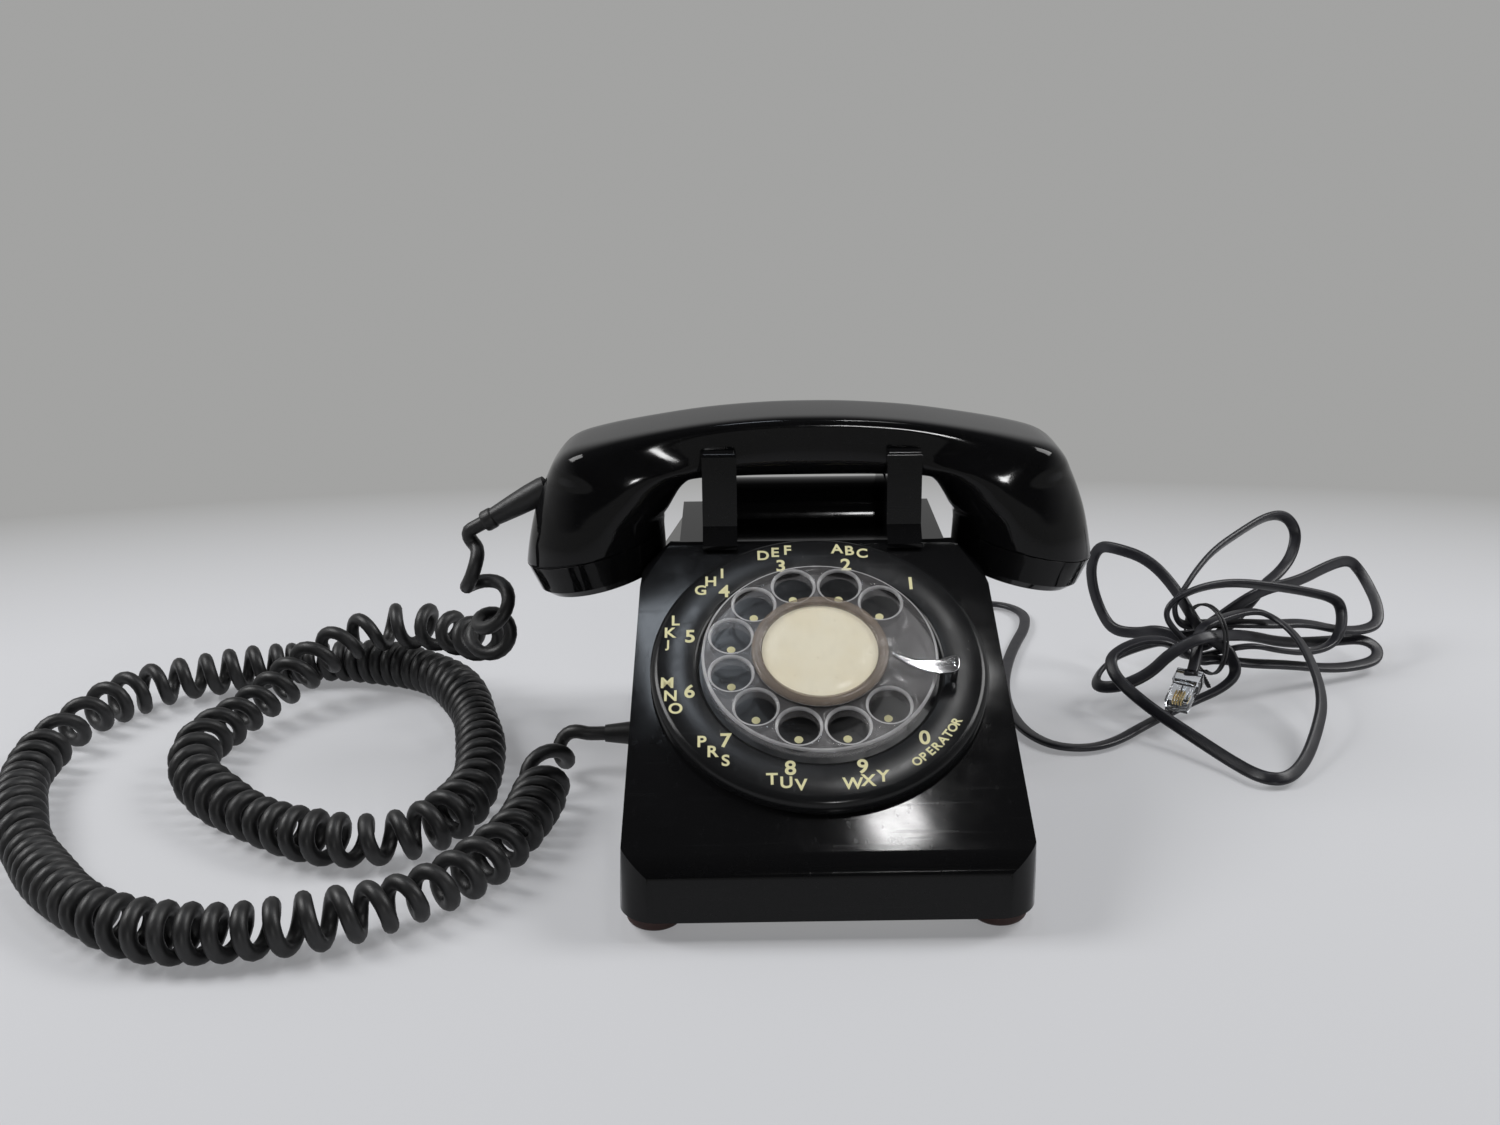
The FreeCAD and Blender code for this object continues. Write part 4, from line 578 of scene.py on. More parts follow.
class PHONE_OT_curly_cord(bpy.types.Operator):
    """Curly cord from the handset's boot to the housing"""
    bl_idname = "phone.curly_cord"
    bl_label = "Curly cord"

    def execute(self, context):
        look = context.scene.phone_look
        spots = CurlyLine(look).points()
        mesh = tube_mesh(spots, look.coil_wire / 2, 4)
        nodes = ("handset_cord_hang", "handset_cord_pile")
        cord = settle("handset_cord", mesh, finishes().coil, None, nodes, 80)
        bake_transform(cord)
        length_of(spots)
        return {"FINISHED"}


def flat_section(width, thick):
    """The outline of the flat line cord: round edges, and sides that are nearly flat."""
    data = bpy.data.curves.new("line_section", "CURVE")
    spline = data.splines.new("POLY")
    count = 14
    power = 0.55
    spline.points.add(count - 1)
    for k, point in enumerate(spline.points):
        angle = 2 * math.pi * k / count
        over, up = (powered(part, power) for part in (math.cos(angle), math.sin(angle)))
        point.co = (over * width / 2, up * thick / 2, 0, 1)
    spline.use_cyclic_u = True
    return linked("line_section", data)


class PHONE_OT_line_cord(bpy.types.Operator):
    """Flat line cord from the back of the housing, its tied hank, the tie and the clear plug"""
    bl_idname = "phone.line_cord"
    bl_label = "Line cord"

    def execute(self, context):
        look = context.scene.phone_look
        hank = UPPER_LEFT_LOOP + FAR_RIGHT_LOOP + TALL_LOOP + FLAT_LOOP
        hank += LOW_LEFT_LOOP + LOW_RIGHT_LOOP + FRONT_LOOP + LAST_PASS
        ends = [PLUG_START - PLUG_WAY * 6, PLUG_START + PLUG_WAY * 2]
        route = scaled(LEAD_ROUTE + hank + ends)
        spots = smooth_line(route, 10)
        line = drawn_curve("line", "POLY", spots)
        section = flat_section(look.line_width, look.line_thick)
        line.data.bevel_mode = "OBJECT"
        line.data.bevel_object = section
        line.data.use_fill_caps = True
        line.data.twist_mode = "MINIMUM"
        line.data.twist_smooth = 8
        mesh = mesh_of(line)
        bpy.data.objects.remove(section)
        cord = settle("line_cord", mesh, finishes().line, "base", ("line_lead", "line_hank"), 60)
        pieces = [self.plug(), self.tie()]
        length_of(spots)
        return {"FINISHED"}

    def plug(self):
        """The modular plug: a clear stepped block with a spring latch and its contacts."""
        place = pointing(PLUG_START * MM, PLUG_WAY)
        bm = bmesh.new()
        for row in PLUG_BLOCKS:
            block(bm, *row)
        rounded(bm, 0.35 * MM, 2)
        bmesh.ops.transform(bm, matrix=place, verts=bm.verts)
        plug = piece_of("plug_body", bm, finishes().plug, "base", ("line_plug",))
        pins = bmesh.new()
        for k in range(PIN_COUNT):
            block(pins, (0.5, 2.6, 5.6), ((k - (PIN_COUNT - 1) / 2) * PIN_STEP, 1.2, 16.4))
        rounded(pins, 0.12 * MM, 1)
        bmesh.ops.transform(pins, matrix=place, verts=pins.verts)
        piece_of("plug_contacts", pins, finishes().gold, "base")
        return plug

    def twisted(self, knot, start):
        """One twisted end of the tie, from the knot down."""
        count = 25
        pitch = 0.32 * MM
        turn = 0.9
        found = []
        for k in range(count):
            angle = k * turn + start
            aside = Vector((math.cos(angle), 0.6 * math.sin(angle), 0.4 * math.cos(angle)))
            found.append(knot + TWIST_WAY * (k * pitch) + aside * (TIE_WIRE * MM))
        return found

    def tie(self):
        """The twist tie: two turns round the waist of the hank and two twisted ends."""
        place = pointing(TIE_SPOT * MM, TIE_WAY)
        run = []
        steps = 48
        for k in range(TIE_TURNS * steps + 1):
            angle = 2 * math.pi * k / steps - math.pi / 2
            radius = (TIE_RADIUS - 0.4 + waves(angle, (0.5, 3, 1))) * MM
            drift = (k / steps - TIE_TURNS / 2) * 1.5 * MM
            run.append(place @ Vector((radius * math.cos(angle), radius * math.sin(angle), drift)))
        head = self.twisted(run[0], math.pi)
        line = head[::-1] + run + self.twisted(run[0], 0)
        tie = settle("tie", tube_mesh(line, TIE_WIRE * MM, 2), finishes().tie, "base", ("hank_tie",), 80)
        return tie


# Housing and handset
class PHONE_OT_housing(bpy.types.Operator):
    """Moulded housing with its cradle, and the rubber feet"""
    bl_idname = "phone.housing"
    bl_label = "Housing"

    def execute(self, context):
        look = context.scene.phone_look
        shell = softened_copy("housing", "shell", finishes().shell, "base", look.shell_round, 2)
        feet = softened_copy("feet", "rubber_feet", finishes().foot, "base", 0.8 * MM, 3)
        return {"FINISHED"}


HANDSET_BACK = 44
# Each station of the handset: inner x and z, outer x and z, half width, power of outer and inner half
STATIONS = [
    (56.8, 96.8, 111.2, 83.2, 28.0, 2.0, 2.0),
    (56.6, 99.5, 110.2, 90.0, 28.0, 2.0, 2.0),
    (56.0, 102.5, 108.7, 97.5, 27.8, 2.0, 2.05),
    (54.0, 105.5, 107.0, 104.0, 27.4, 2.05, 2.1),
    (51.8, 109.5, 104.5, 111.0, 26.8, 2.15, 2.2),
    (49.6, 112.8, 101.5, 118.0, 26.0, 2.3, 2.3),
    (47.0, 115.6, 98.0, 124.5, 25.0, 3.2, 2.5),
    (44.0, 117.4, 92.0, 130.0, 23.7, 4.6, 2.7),
    (40.0, 118.0, 80.0, 133.5, 21.9, 6.4, 2.9),
    (33.0, 118.0, 62.0, 137.0, 19.8, 8.0, 3.0),
    (24.0, 118.0, 40.0, 140.3, 18.5, 9.0, 3.0),
    (12.0, 118.0, 18.0, 142.1, 18.0, 9.0, 3.0),
    (0.0, 118.0, 0.0, 142.5, 18.0, 9.0, 3.0),
]
CAP_TILT = 14
BOOT_SPOT = Vector((-102, 44, 112))


def mirrored_stations():
    left = [(-row[0], row[1], -row[2]) + row[3:] for row in STATIONS[:-1]]
    return STATIONS + left[::-1]


def between(rows, index, share):
    """The row a share of the way from one row to the next, on a smooth line through all of them."""
    last = len(rows) - 1
    before, one, two, after = (rows[min(last, max(0, index + step))] for step in (-1, 0, 1, 2))
    found = []
    for a, b, c, d in zip(before, one, two, after):
        bend = 2 * a - 5 * b + 4 * c - d
        twist = 3 * b - a - 3 * c + d
        found.append(b + 0.5 * share * (c - a + share * (bend + share * twist)))
    return found


def station_ring(bm, row, segments):
    """One closed ring of the handset; its edges are returned."""
    inner_x, inner_z, outer_x, outer_z, half, outer_power, inner_power = row
    middle = Vector((inner_x + outer_x, 2 * HANDSET_BACK, inner_z + outer_z)) / 2
    reach = Vector((outer_x - inner_x, 0, outer_z - inner_z)) / 2
    verts = bmesh.ops.create_circle(bm, segments=segments, radius=1)["verts"]
    for vert in verts:
        over, out = vert.co.x, vert.co.y
        power = 2 / (outer_power if over > 0 else inner_power)
        aside = Vector((0, half * powered(out, power), 0))
        vert.co = (middle + reach * powered(over, power) + aside) * MM
    return list({edge for vert in verts for edge in vert.link_edges})


class PHONE_OT_handset(bpy.types.Operator):
    """Handset: moulded handle, screwed caps and the cord's boot"""
    bl_idname = "phone.handset"
    bl_label = "Handset"

    SEGMENTS = 72
    STEPS = 4
    BORE_INSET = 7 * MM
    BORE_DEPTH = 10 * MM

    def execute(self, context):
        look = context.scene.phone_look
        bm = bmesh.new()
        rows = mirrored_stations()
        rings = []
        for index in range(len(rows) - 1):
            for step in range(self.STEPS):
                rings.append(station_ring(bm, between(rows, index, step / self.STEPS), self.SEGMENTS))
        rings.append(station_ring(bm, rows[-1], self.SEGMENTS))
        for one, two in zip(rings, rings[1:]):
            bmesh.ops.bridge_loops(bm, edges=one + two)
        for ring, hand in ((rings[0], 1), (rings[-1], -1)):
            self.bore(bm, ring, hand)
        bmesh.ops.recalc_face_normals(bm, faces=bm.faces)
        rounded(bm, look.lip_round, 2, 55)
        handle = piece_of("handset_shell", bm, finishes().handset, "handset", ("handset_handle",), 50)
        for node in ("transmitter_cap", "receiver_cap"):
            cap = softened_copy(node, node + "_shell", finishes().handset, "handset", 0.7 * MM, 3)
        self.boot()
        return {"FINISHED"}

    def bore(self, bm, ring, hand):
        """Close an end and sink the round bore that takes the capsule."""
        face = bmesh.ops.edgeloop_fill(bm, edges=ring)["faces"]
        bmesh.ops.inset_region(bm, faces=face, thickness=self.BORE_INSET)
        up = Matrix.Rotation(math.radians(hand * CAP_TILT), 3, "Y") @ Vector((0, 0, self.BORE_DEPTH))
        bottom = bmesh.ops.extrude_discrete_faces(bm, faces=face)["faces"]
        bmesh.ops.translate(bm, vec=up, verts=bottom[0].verts)

    def boot(self):
        """The tapered boot, with a collar where the cord comes out."""
        profile = [(0, 0), (4.9, 0), (5.2, 2), (5.1, 8), (4.6, 15), (4.05, 21), (3.75, 24.2), (4.1, 24.6),
                   (4.25, 25.2), (4.25, 28.2), (3.9, 29), (3.0, 29), (2.9, 27.5), (0, 27.5)]
        bm = turned(scaled(profile), 48, pointing(BOOT_SPOT * MM, BOOT_WAY))
        boot = piece_of("handset_boot_sleeve", bm, finishes().coil, "handset", ("handset_boot",), 35)


# Dial
DIAL = Matrix.Translation(Vector((0, -38, 69.5)) * MM) @ Matrix.Rotation(math.radians(30), 4, "X")
PLATE_TOP = 1.7
PLATE_FLOOR = -1.4
PLATE_PROFILE = [
    (7, -4), (59.4, -4), (59.4, -1.4), (59.15, -0.6), (58.6, 0.35), (57.8, 1.1), (56.9, 1.55), (56.0, 1.7),
    (44.2, 1.7), (43.7, 1.6), (43.1, 1.15), (42.55, 0.55), (42.4, 0.2), (42.4, -1.1), (42.1, -1.4),
    (7, -1.4),
]
# Each group: its digit, the letters, the radius of digit and of letters, the step between letters
GROUPS = [
    ("1", "", 49.5, 0, 0), ("2", "ABC", 46.3, 53.4, -5.1), ("3", "DEF", 46.3, 53.2, -5.1),
    ("4", "GHI", 46.6, 53.4, -6.0), ("5", "JKL", 46.9, 54.0, -6.2), ("6", "MNO", 47.0, 53.8, 6.1),
    ("7", "PRS", 46.8, 53.0, 6.0), ("8", "TUV", 46.3, 52.2, 5.4), ("9", "WXY", 46.3, 52.0, 5.8),
    ("0", "", 47.5, 0, 0),
]
FIRST_HOLE = 45
HOLE_STEP = 30
HOLE_CIRCLE = 32
HOLE_COUNT = 10
DOT_DROP = 0.4
DOT_RISE = 0.1
DOT_TOP = 0.8
LETTER_THICK = 0.06
LETTER_WEIGHT = 0.018
HELP_WORD = "OPERATOR"
HELP_START = 305.5
HELP_END = 329.5
HELP_CIRCLE = 52.6
STOP_OUTLINE = [
    (24.6, -2.4), (29, -4.6), (34, -6.3), (39, -6.6), (43, -5.4), (46.4, -4.0), (47.6, -5.6), (47.0, -10.6),
    (42, -11.7), (37, -11.3), (31, -8.6), (26, -4.6),
]
STOP_LOW = 8.3
STOP_HIGH = 9.3
STOP_EDGE = 0.25
LEG_ACROSS = (2.4, 4.6)
LEG_SPOT = (45.9, -7.7)
FLAT_FACE = 0.97
EDGE_FACE = 0.3
WHEEL_MIDDLE = 3.5
RIM_SIDES = 160
HUB_SIDES = 96
HOLE_SIDES = 48
DISC_SIDES = 128
PLATE_SIDES = 192
# Runs of radius and lift: the wheel's rim, a finger hole and the hub that carries the card
RIM_RUN = [(40.2, 1.0), (40.8, 1.25), (41.2, 1.8), (41.38, 2.6), (41.4, 3.5), (41.38, 4.4), (41.2, 5.2),
           (40.8, 5.75), (40.2, 6.0)]
HOLE_RUN = [(7.5, 1.0), (7.2, 1.1), (7.02, 1.4), (7.0, 1.8), (7.0, 4.6), (7.06, 5.1), (7.3, 5.6),
            (7.65, 5.88), (8.1, 6.0)]
HUB_RUN = [(3.08, 1.0), (3.08, 7.2), (23.7, 7.2), (23.76, 7.1), (23.78, 6.1), (23.8, 6.0)]
RING_RUN = [(20.42, 7.24), (23.7, 7.24), (23.8, 7.4), (23.8, 8.2), (23.55, 8.65), (23.0, 8.92), (22.2, 9.0),
            (21.2, 9.0), (20.7, 8.9), (20.45, 8.7), (20.42, 8.4)]
CARD_RUN = [(0, 7.24), (20.2, 7.24), (20.25, 7.3), (20.2, 7.5), (0, 7.5)]
WINDOW_RUN = [(0, 7.62), (20.2, 7.62), (20.28, 7.75), (20.25, 8.3), (19.6, 8.42), (14, 8.52), (7, 8.58),
              (0, 8.6)]


def on_circle(radius, angle, lift):
    """A place in the dial's own plane, in metres."""
    turn = math.radians(angle)
    return Vector((radius * math.cos(turn), radius * math.sin(turn), lift)) * MM


def flat_text(text, height, thick):
    """A letter as a mesh, of a given height, its middle at the origin."""
    data = bpy.data.curves.new("letter", "FONT")
    data.body = text
    data.size = height
    data.offset = LETTER_WEIGHT * height
    data.extrude = thick
    data.bevel_depth = thick * 0.5
    data.resolution_u = 5
    mesh = mesh_of(linked("letter", data))
    spots = [vert.co for vert in mesh.vertices]
    low = Vector([min(spot[k] for spot in spots) for k in range(3)])
    high = Vector([max(spot[k] for spot in spots) for k in range(3)])
    size = height / (high.y - low.y)
    mesh.transform(Matrix.Diagonal((size, size, 1, 1)) @ Matrix.Translation(-(low + high) / 2))
    return mesh


class PHONE_OT_number_plate(bpy.types.Operator):
    """Number plate with its cream digits, letters and dots"""
    bl_idname = "phone.number_plate"
    bl_label = "Number plate"

    def execute(self, context):
        look = context.scene.phone_look
        bm = turned(scaled(PLATE_PROFILE), PLATE_SIDES, DIAL, True)
        plate = piece_of("plate", bm, finishes().plate, "base", ("number_plate",), 35)
        bm = bmesh.new()
        for number, (digit, letters, radius, circle, step) in enumerate(GROUPS):
            angle = FIRST_HOLE + 0.5 + HOLE_STEP * number
            self.letter(bm, digit, look.digit_height, on_circle(radius, angle, PLATE_TOP))
            for k, letter in enumerate(letters):
                spot = on_circle(circle, angle + (k - 1) * step, PLATE_TOP)
                self.letter(bm, letter, look.letter_height, spot)
        for k, letter in enumerate(HELP_WORD):
            angle = HELP_START + (HELP_END - HELP_START) * k / (len(HELP_WORD) - 1)
            self.letter(bm, letter, look.word_height, on_circle(HELP_CIRCLE, angle, PLATE_TOP), angle + 90)
        for number in range(len(GROUPS)):
            spot = on_circle(HOLE_CIRCLE, FIRST_HOLE + HOLE_STEP * number, PLATE_FLOOR)
            self.dot(bm, spot - Vector((0, DOT_DROP * MM, 0)), look.dot_radius)
        bmesh.ops.transform(bm, matrix=DIAL, verts=bm.verts)
        piece_of("legend", bm, finishes().legend, "base")
        return {"FINISHED"}

    def letter(self, bm, text, height, spot, turn=0):
        """One raised letter in its place."""
        mesh = flat_text(text, height, LETTER_THICK * MM)
        mesh.transform(Matrix.Translation(spot) @ Matrix.Rotation(math.radians(turn), 4, "Z"))
        poured(bm, mesh)

    def dot(self, bm, spot, radius):
        """A painted dot, a little raised."""
        verts = bmesh.ops.create_circle(bm, cap_ends=True, segments=24, radius=radius)["verts"]
        face = list(verts[0].link_faces)
        raised = bmesh.ops.extrude_face_region(bm, geom=face)["geom"]
        top = [item for item in raised if isinstance(item, bmesh.types.BMVert)]
        bmesh.ops.translate(bm, vec=(0, 0, DOT_RISE * MM), verts=top)
        bmesh.ops.scale(bm, vec=(DOT_TOP, DOT_TOP, 1), verts=top)
        bmesh.ops.translate(bm, vec=spot, verts=verts + top)


def tower(bm, middle, run, segments):
    """Circles of a run of radius and lift, joined in turn; the first and last are returned."""
    rings = []
    for radius, lift in run:
        verts = bmesh.ops.create_circle(bm, segments=segments, radius=radius * MM)["verts"]
        bmesh.ops.translate(bm, vec=Vector((middle.x, middle.y, lift * MM)), verts=verts)
        rings.append(list({edge for vert in verts for edge in vert.link_edges}))
    for one, two in zip(rings, rings[1:]):
        bmesh.ops.bridge_loops(bm, edges=one + two)
    return rings[0], rings[-1]


class PHONE_OT_finger_wheel(bpy.types.Operator):
    """Clear finger wheel, the card under its window, the retaining ring and the bright finger stop"""
    bl_idname = "phone.finger_wheel"
    bl_label = "Finger wheel"

    def execute(self, context):
        made = finishes()
        self.wheel()
        discs = [
            ("card", CARD_RUN, made.card, "number_card", "card"),
            ("window", WINDOW_RUN, made.window, "card_window", "clear_plastic"),
            ("ring", RING_RUN, made.ring, "card_ring", "clear_plastic"),
        ]
        for name, run, finish, node, slot in discs:
            bm = turned(scaled(run), DISC_SIDES, DIAL, name == "ring")
            piece_of(name, bm, finish, "dial", (node,), 35)
        self.stop()
        return {"FINISHED"}

    def wheel(self):
        """The wheel with its round rim, ten finger holes and hub."""
        bm = bmesh.new()
        centre = Vector()
        rim = tower(bm, centre, RIM_RUN, RIM_SIDES)
        holes = [(centre, HUB_RUN, HUB_SIDES)]
        for number in range(HOLE_COUNT):
            middle = on_circle(HOLE_CIRCLE, FIRST_HOLE + HOLE_STEP * number, 0)
            holes.append((middle, HOLE_RUN, HOLE_SIDES))
        walls = [tower(bm, *hole) for hole in holes]
        for end in (0, -1):
            edges = rim[end] + [edge for ends in walls for edge in ends[end]]
            filled = bmesh.ops.triangle_fill(bm, edges=edges, use_beauty=True, normal=(0, 0, 1))["geom"]
            faces = [item for item in filled if isinstance(item, bmesh.types.BMFace)]
            closed = [face for face in faces if self.in_a_hole(face, holes, end)]
            bmesh.ops.delete(bm, geom=closed, context="FACES_ONLY")
        bmesh.ops.recalc_face_normals(bm, faces=bm.faces)
        kinds = [self.kind(face) for face in bm.faces]
        bmesh.ops.transform(bm, matrix=DIAL, verts=bm.verts)
        wheel = piece_of("wheel", bm, finishes().wheel, "dial", ("finger_wheel",), 25)
        wheel.data.materials.append(finishes().wheel_wall.material)
        # The third finish, for the rounded upper edges, is the painted highlight.
        wheel.data.materials.append(finishes().wheel_edge.material)
        wheel.data.polygons.foreach_set("material_index", kinds)

    def kind(self, face):
        """Which of the wheel's three finishes a face has: flat, upright wall or rounded upper edge, painted
        as highlight.
        """
        flat = abs(face.normal.z)
        if flat > FLAT_FACE:
            return 0
        upper = face.calc_center_median().z > WHEEL_MIDDLE * MM
        return 2 if upper and flat > EDGE_FACE else 1

    def in_a_hole(self, face, holes, end):
        """Whether a face of the fill lies across a hole, which stays open."""
        spot = face.calc_center_median().xy
        for middle, run, segments in holes:
            if (spot - middle.xy).length < 0.9999 * math.cos(math.pi / segments) * run[end][0] * MM:
                return True
        return False

    def stop(self):
        """The bright hooked stop and the leg that carries it."""
        data = bpy.data.curves.new("stop", "CURVE")
        data.dimensions = "2D"
        data.fill_mode = "BOTH"
        data.resolution_u = 8
        data.extrude = (STOP_HIGH - STOP_LOW) / 2 * MM - STOP_EDGE * MM
        data.bevel_depth = STOP_EDGE * MM
        data.bevel_resolution = 3
        spline = data.splines.new("NURBS")
        spline.points.add(len(STOP_OUTLINE) - 1)
        for point, (across, along) in zip(spline.points, STOP_OUTLINE):
            point.co = (across * MM, along * MM, 0, 1)
        spline.order_u = 3
        spline.use_cyclic_u = True
        mesh = mesh_of(linked("stop", data))
        mesh.transform(Matrix.Translation((0, 0, (STOP_LOW + STOP_HIGH) / 2 * MM)))
        bm = bmesh.new()
        poured(bm, mesh)
        bmesh.ops.remove_doubles(bm, verts=bm.verts, dist=SAME_SPOT)
        leg = bmesh.new()
        block(leg, (*LEG_ACROSS, STOP_HIGH - PLATE_TOP), (*LEG_SPOT, (STOP_HIGH + PLATE_TOP) / 2))
        rounded(leg, 0.5 * MM, 3)
        part = bpy.data.meshes.new("leg")
        leg.to_mesh(part)
        leg.free()
        poured(bm, part)
        bmesh.ops.transform(bm, matrix=DIAL, verts=bm.verts)
        stop = piece_of("stop", bm, finishes().chrome, "base", ("finger_stop",))


# Inner works and stage
def paint(nodes, finish):
    """Give CAD nodes whose shape is right their finish."""
    for node in nodes:
        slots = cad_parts[node].data.materials
        slots.clear()
        slots.append(finish.material)


class PHONE_OT_inner_works(bpy.types.Operator):
    """Finishes of the base plate, dial movement, ringer, network block and hook switch"""
    bl_idname = "phone.inner_works"
    bl_label = "Inner works"

    def execute(self, context):
        made = finishes()
        paint(("base_plate", "ringer_frame", "hook_bracket", "hook_lever", "dial_legs"), made.plated)
        paint(("base_screws", "gong_screws", "dial_frame", "dial_back_plate", "dial_shaft", "governor_shaft",
               "ringer_core", "main_spring", "loudness_bracket", "receiver_capsule"), made.steel)
        paint(("dial_screws", "terminal_screws", "governor_cup", "main_gear", "governor_pinion",
               "governor_weights", "clapper", "transmitter_capsule"), made.brass)
        paint(("gong_left", "gong_right"), made.gong)
        paint(("pulse_contacts", "hook_contacts"), made.gold)
        paint(("ringer_coils",), made.winding)
        paint(("network_block", "contact_cup"), made.block)
        paint(("pulse_cam", "loudness_wheel"), made.nylon)
        paint(("hook_plunger_left", "hook_plunger_right"), made.handset)
        paint(("base_boot", "line_grommet"), made.coil)
        return {"FINISHED"}


CAMERA_SPOT = Vector((-27.95, -559.3, 279.4))
CAMERA_PITCH = 71.72
CAMERA_YAW = -0.44
CAMERA_ROLL = -0.6
SENSOR_WIDTH = 36.0


class PHONE_OT_stage(bpy.types.Operator):
    """Pale floor, soft light and the camera"""
    bl_idname = "phone.stage"
    bl_label = "Stage"

    # name, place, what it points at, size, share of the stage's light, tint
    LAMPS = [
        ("lamp_left", (-0.95, 0.05, 1.0), (0, 0, 0.03), 0.6, 0.85, (1, 1, 1)),
        ("lamp_right", (0.95, 0.10, 1.0), (0, 0, 0.03), 0.6, 0.75, (1, 1, 1)),
        ("lamp_front", (0.16, -1.35, 0.34), (0, 0, 0.10), 0.10, 0.14, (1, 1, 1)),
        ("lamp_patch", (0.115, -0.05, 1.0), (0.03, -0.09, 0.05), 0.045, 0.036, (1, 1, 1)),
        ("lamp_sheen", (0.160, 0.085, 1.0), (0.04, -0.04, 0.07), 0.08, 0.020, (1, 1, 1)),
        ("lamp_haze", (-0.07, 0.115, 1.0), (-0.04, -0.03, 0.07), 0.10, 0.03, (0.82, 0.9, 1)),
    ]

    FLOOR_SIZE = 40
    # Where the floor begins to go over into the wall's grey, and where it has become it
    FLOOR_FADE = (0.24, 0.46)
    # How much a direction's side and height count in how far back it lies; where light begins and is full
    SIDE_SHARE = 0.7
    UP_SHARE = 0.9
    BACK_FADE = (-0.3, 0.7)

    def execute(self, context):
        stage = context.scene.phone_stage
        context.scene.view_settings.view_transform = "Standard"
        self.floor(stage)
        self.world(context.scene, stage)
        for name, spot, aim, size, share, tint in self.LAMPS:
            data = bpy.data.lights.new(name, "AREA")
            data.energy = stage.light * share
            data.size = size
            data.color = tint
            away = Vector(spot) - Vector(aim)
            lamp = linked(name, data)
            lamp.matrix_world = Matrix.Translation(spot) @ away.to_track_quat("Z", "Y").to_matrix().to_4x4()
        self.camera(context.scene, stage)
        return {"FINISHED"}

    def sees_it(self, finish):
        """Share of rays that show the background: from the camera, in gloss and through glass."""
        shares = [finish.node("ShaderNodeLightPath", out=name)
                  for name in ("Is Camera Ray", "Is Glossy Ray", "Is Transmission Ray")]
        return finish.node("ShaderNodeClamp", None, {0: shares[0] + shares[1] + shares[2]})

    def floor(self, stage):
        """A pale floor that goes over into the grey behind it."""
        bm = bmesh.new()
        bmesh.ops.create_grid(bm, x_segments=1, y_segments=1, size=self.FLOOR_SIZE)
        mesh = bpy.data.meshes.new("floor")
        bm.to_mesh(mesh)
        bm.free()
        finish = Finish("floor_paper")
        near = solid(stage.floor_colour)
        spot = finish.place((0.5, 1, 1))
        away = finish.node("ShaderNodeVectorMath", {"operation": "LENGTH"}, {0: spot}, "Value")
        far = finish.window(away, *self.FLOOR_FADE)
        shade = finish.mix(far, near, solid(stage.wall_colour))
        lit = finish.node("ShaderNodeBsdfDiffuse", None, {"Color": near})
        glow = finish.node("ShaderNodeEmission", None, {"Color": shade, "Strength": 1.0})
        share = self.sees_it(finish) * (far * (1 - stage.floor_glow) + stage.floor_glow)
        both = finish.node("ShaderNodeMixShader", None, {0: share, 1: lit, 2: glow})
        finish.node("ShaderNodeOutputMaterial", None, {"Surface": both})
        mesh.materials.append(finish.material)
        floor = linked("floor", mesh)

    def world(self, scene, stage):
        """Soft light from behind, and a plain wall for the camera."""
        scene.world = bpy.data.worlds.new("studio")
        finish = Finish("studio", scene.world)
        way = finish.node("ShaderNodeTexCoord", out="Generated")
        across, back, up = (finish.node("ShaderNodeSeparateXYZ", None, {0: way}, axis) for axis in "XYZ")
        aside = finish.node("ShaderNodeMath", {"operation": "ABSOLUTE"}, {0: across})
        behind = finish.window(back + aside * self.SIDE_SHARE - up * self.UP_SHARE, *self.BACK_FADE)
        shade = finish.mix(behind, grey(stage.front_level), grey(stage.back_level))
        sky = finish.node("ShaderNodeBackground", None, {"Color": shade, "Strength": 1.0})
        plain = solid(stage.wall_colour)
        wall = finish.node("ShaderNodeBackground", None, {"Color": plain, "Strength": 1.0})
        seen = finish.node("ShaderNodeLightPath", out="Is Camera Ray")
        both = finish.node("ShaderNodeMixShader", None, {0: seen, 1: sky, 2: wall})
        finish.node("ShaderNodeOutputWorld", None, {"Surface": both})

    def camera(self, scene, stage):
        """The camera in the place that was fitted to the photograph."""
        data = bpy.data.cameras.new("photo_camera")
        data.sensor_width = SENSOR_WIDTH
        data.lens = stage.lens
        camera = linked("photo_camera", data)
        turn = Matrix.Rotation(math.radians(CAMERA_YAW), 4, "Z")
        turn = turn @ Matrix.Rotation(math.radians(CAMERA_PITCH), 4, "X")
        turn = turn @ Matrix.Rotation(math.radians(CAMERA_ROLL), 4, "Z")
        camera.matrix_world = Matrix.Translation(CAMERA_SPOT * MM) @ turn
        scene.camera = camera


# Properties, panel and the run
def colour_value(name, text, default):
    return FloatVectorProperty(name=name, description=text, default=default, subtype="COLOR", size=3,
                               min=0, max=1)


def number_value(name, text, default, low=0, **more):
    return FloatProperty(name=name, description=text, default=default, min=low, **more)


def size_value(name, text, default):
    return number_value(name, text, default, unit="LENGTH", precision=5)


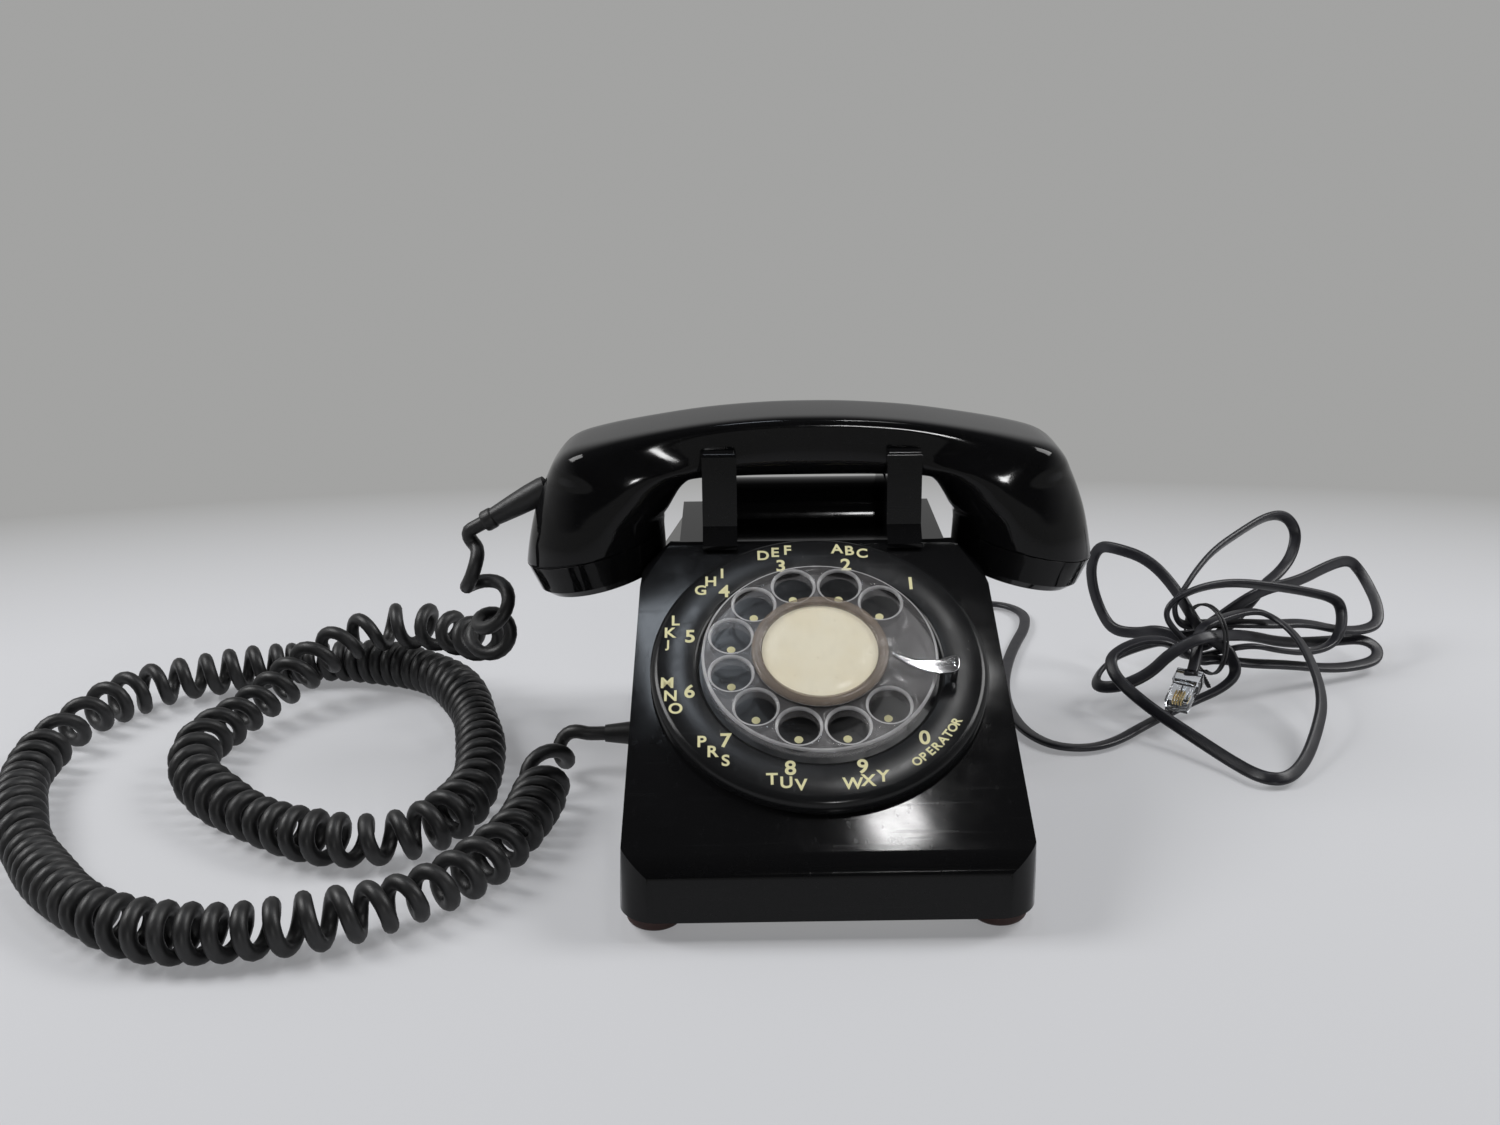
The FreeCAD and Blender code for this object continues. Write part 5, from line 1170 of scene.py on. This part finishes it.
class PhoneLook(bpy.types.PropertyGroup):
    """Sizes and colours of the telephone"""
    shell_colour: colour_value("Shell", "Colour of the moulded housing and handset", (0.005, 0.005, 0.0054))
    plate_colour: colour_value("Number plate", "Colour of the number plate", (0.010, 0.0102, 0.0108))
    legend_colour: colour_value("Legend", "Colour of the digits, letters and dots", (0.70, 0.66, 0.38))
    # The wheel's grey shows as a veil that is partly haze and partly painted sheen.
    wheel_colour: colour_value("Wheel", "Tint of the clear finger wheel", (0.62, 0.60, 0.61))
    card_colour: colour_value("Card", "Colour of the number card", (0.80, 0.75, 0.60))
    coil_colour: colour_value("Curly cord", "Colour of the curly cord's rubber", (0.010, 0.010, 0.0105))
    line_colour: colour_value("Line cord", "Colour of the flat line cord", (0.012, 0.012, 0.016))
    foot_colour: colour_value("Feet", "Colour of the rubber feet", (0.035, 0.012, 0.009))
    coil_wire: size_value("Wire", "Thickness of the curly cord's wire", 5.6 * MM)
    coil_radius: size_value("Curl radius", "Radius of the curls, at the middle of the wire", 7.5 * MM)
    curl_spacing: number_value("Curl spacing", "Share of the cord's own spacing of curls", 1.0, 0.7, max=2)
    line_width: size_value("Line width", "Width of the flat line cord", 5.2 * MM)
    line_thick: size_value("Line thickness", "Thickness of the flat line cord", 2.4 * MM)
    shell_round: size_value("Shell edges", "Rounding of the housing's sharp edges", 0.9 * MM)
    lip_round: size_value("Lip edges", "Rounding of the handset's lips", 0.4 * MM)
    digit_height: size_value("Digits", "Height of the digits", 5.8 * MM)
    letter_height: size_value("Letters", "Height of the letters", 4.6 * MM)
    word_height: size_value("Small word", "Height of the small word's letters", 3.3 * MM)
    dot_radius: size_value("Dots", "Radius of the dots under the finger holes", 1.5 * MM)


class PhoneStage(bpy.types.PropertyGroup):
    """Floor, light and camera"""
    floor_colour: colour_value("Floor", "Colour of the floor", (0.63, 0.635, 0.655))
    wall_colour: colour_value("Wall", "Colour behind the floor", (0.365, 0.365, 0.36))
    floor_glow: number_value("Floor glow", "Share of its own light that the floor shows", 0.35, max=1,
                             subtype="FACTOR")
    front_level: number_value("Front level", "Light from the open front", 0.03)
    back_level: number_value("Back level", "Light from behind", 0.42)
    light: number_value("Light", "Power that each lamp takes its share of", 12.5, unit="POWER")
    lens: number_value("Lens", "Focal length", 38.436, 1, unit="CAMERA")


made_finishes = {}


def finishes():
    if not made_finishes:
        made_finishes["all"] = Finishes(bpy.context.scene.phone_look)
    return made_finishes["all"]


STEPS = (PHONE_OT_stage, PHONE_OT_housing, PHONE_OT_handset, PHONE_OT_curly_cord, PHONE_OT_line_cord,
         PHONE_OT_number_plate, PHONE_OT_finger_wheel, PHONE_OT_inner_works)


class PHONE_PT_panel(bpy.types.Panel):
    """The telephone's sizes, colours and steps"""
    bl_idname = "PHONE_PT_panel"
    bl_label = "Telephone"
    bl_space_type = "VIEW_3D"
    bl_region_type = "UI"
    bl_category = "Telephone"

    def draw(self, context):
        for group in (context.scene.phone_look, context.scene.phone_stage):
            column = self.layout.column()
            for name in group.__annotations__:
                column.prop(group, name)
        for step in STEPS:
            self.layout.operator(step.bl_idname)


CLASSES = (PhoneLook, PhoneStage) + STEPS + (PHONE_PT_panel,)


def register():
    for made in CLASSES:
        bpy.utils.register_class(made)
    bpy.types.Scene.phone_look = PointerProperty(type=PhoneLook)
    bpy.types.Scene.phone_stage = PointerProperty(type=PhoneStage)


def unregister():
    del bpy.types.Scene.phone_stage
    del bpy.types.Scene.phone_look
    for made in reversed(CLASSES):
        bpy.utils.unregister_class(made)


def main():
    register()
    bpy.ops.phone.stage()
    bpy.ops.phone.housing()
    bpy.ops.phone.handset()
    bpy.ops.phone.curly_cord()
    bpy.ops.phone.line_cord()
    bpy.ops.phone.number_plate()
    bpy.ops.phone.finger_wheel()
    bpy.ops.phone.inner_works()


if __name__ == "__main__":
    main()
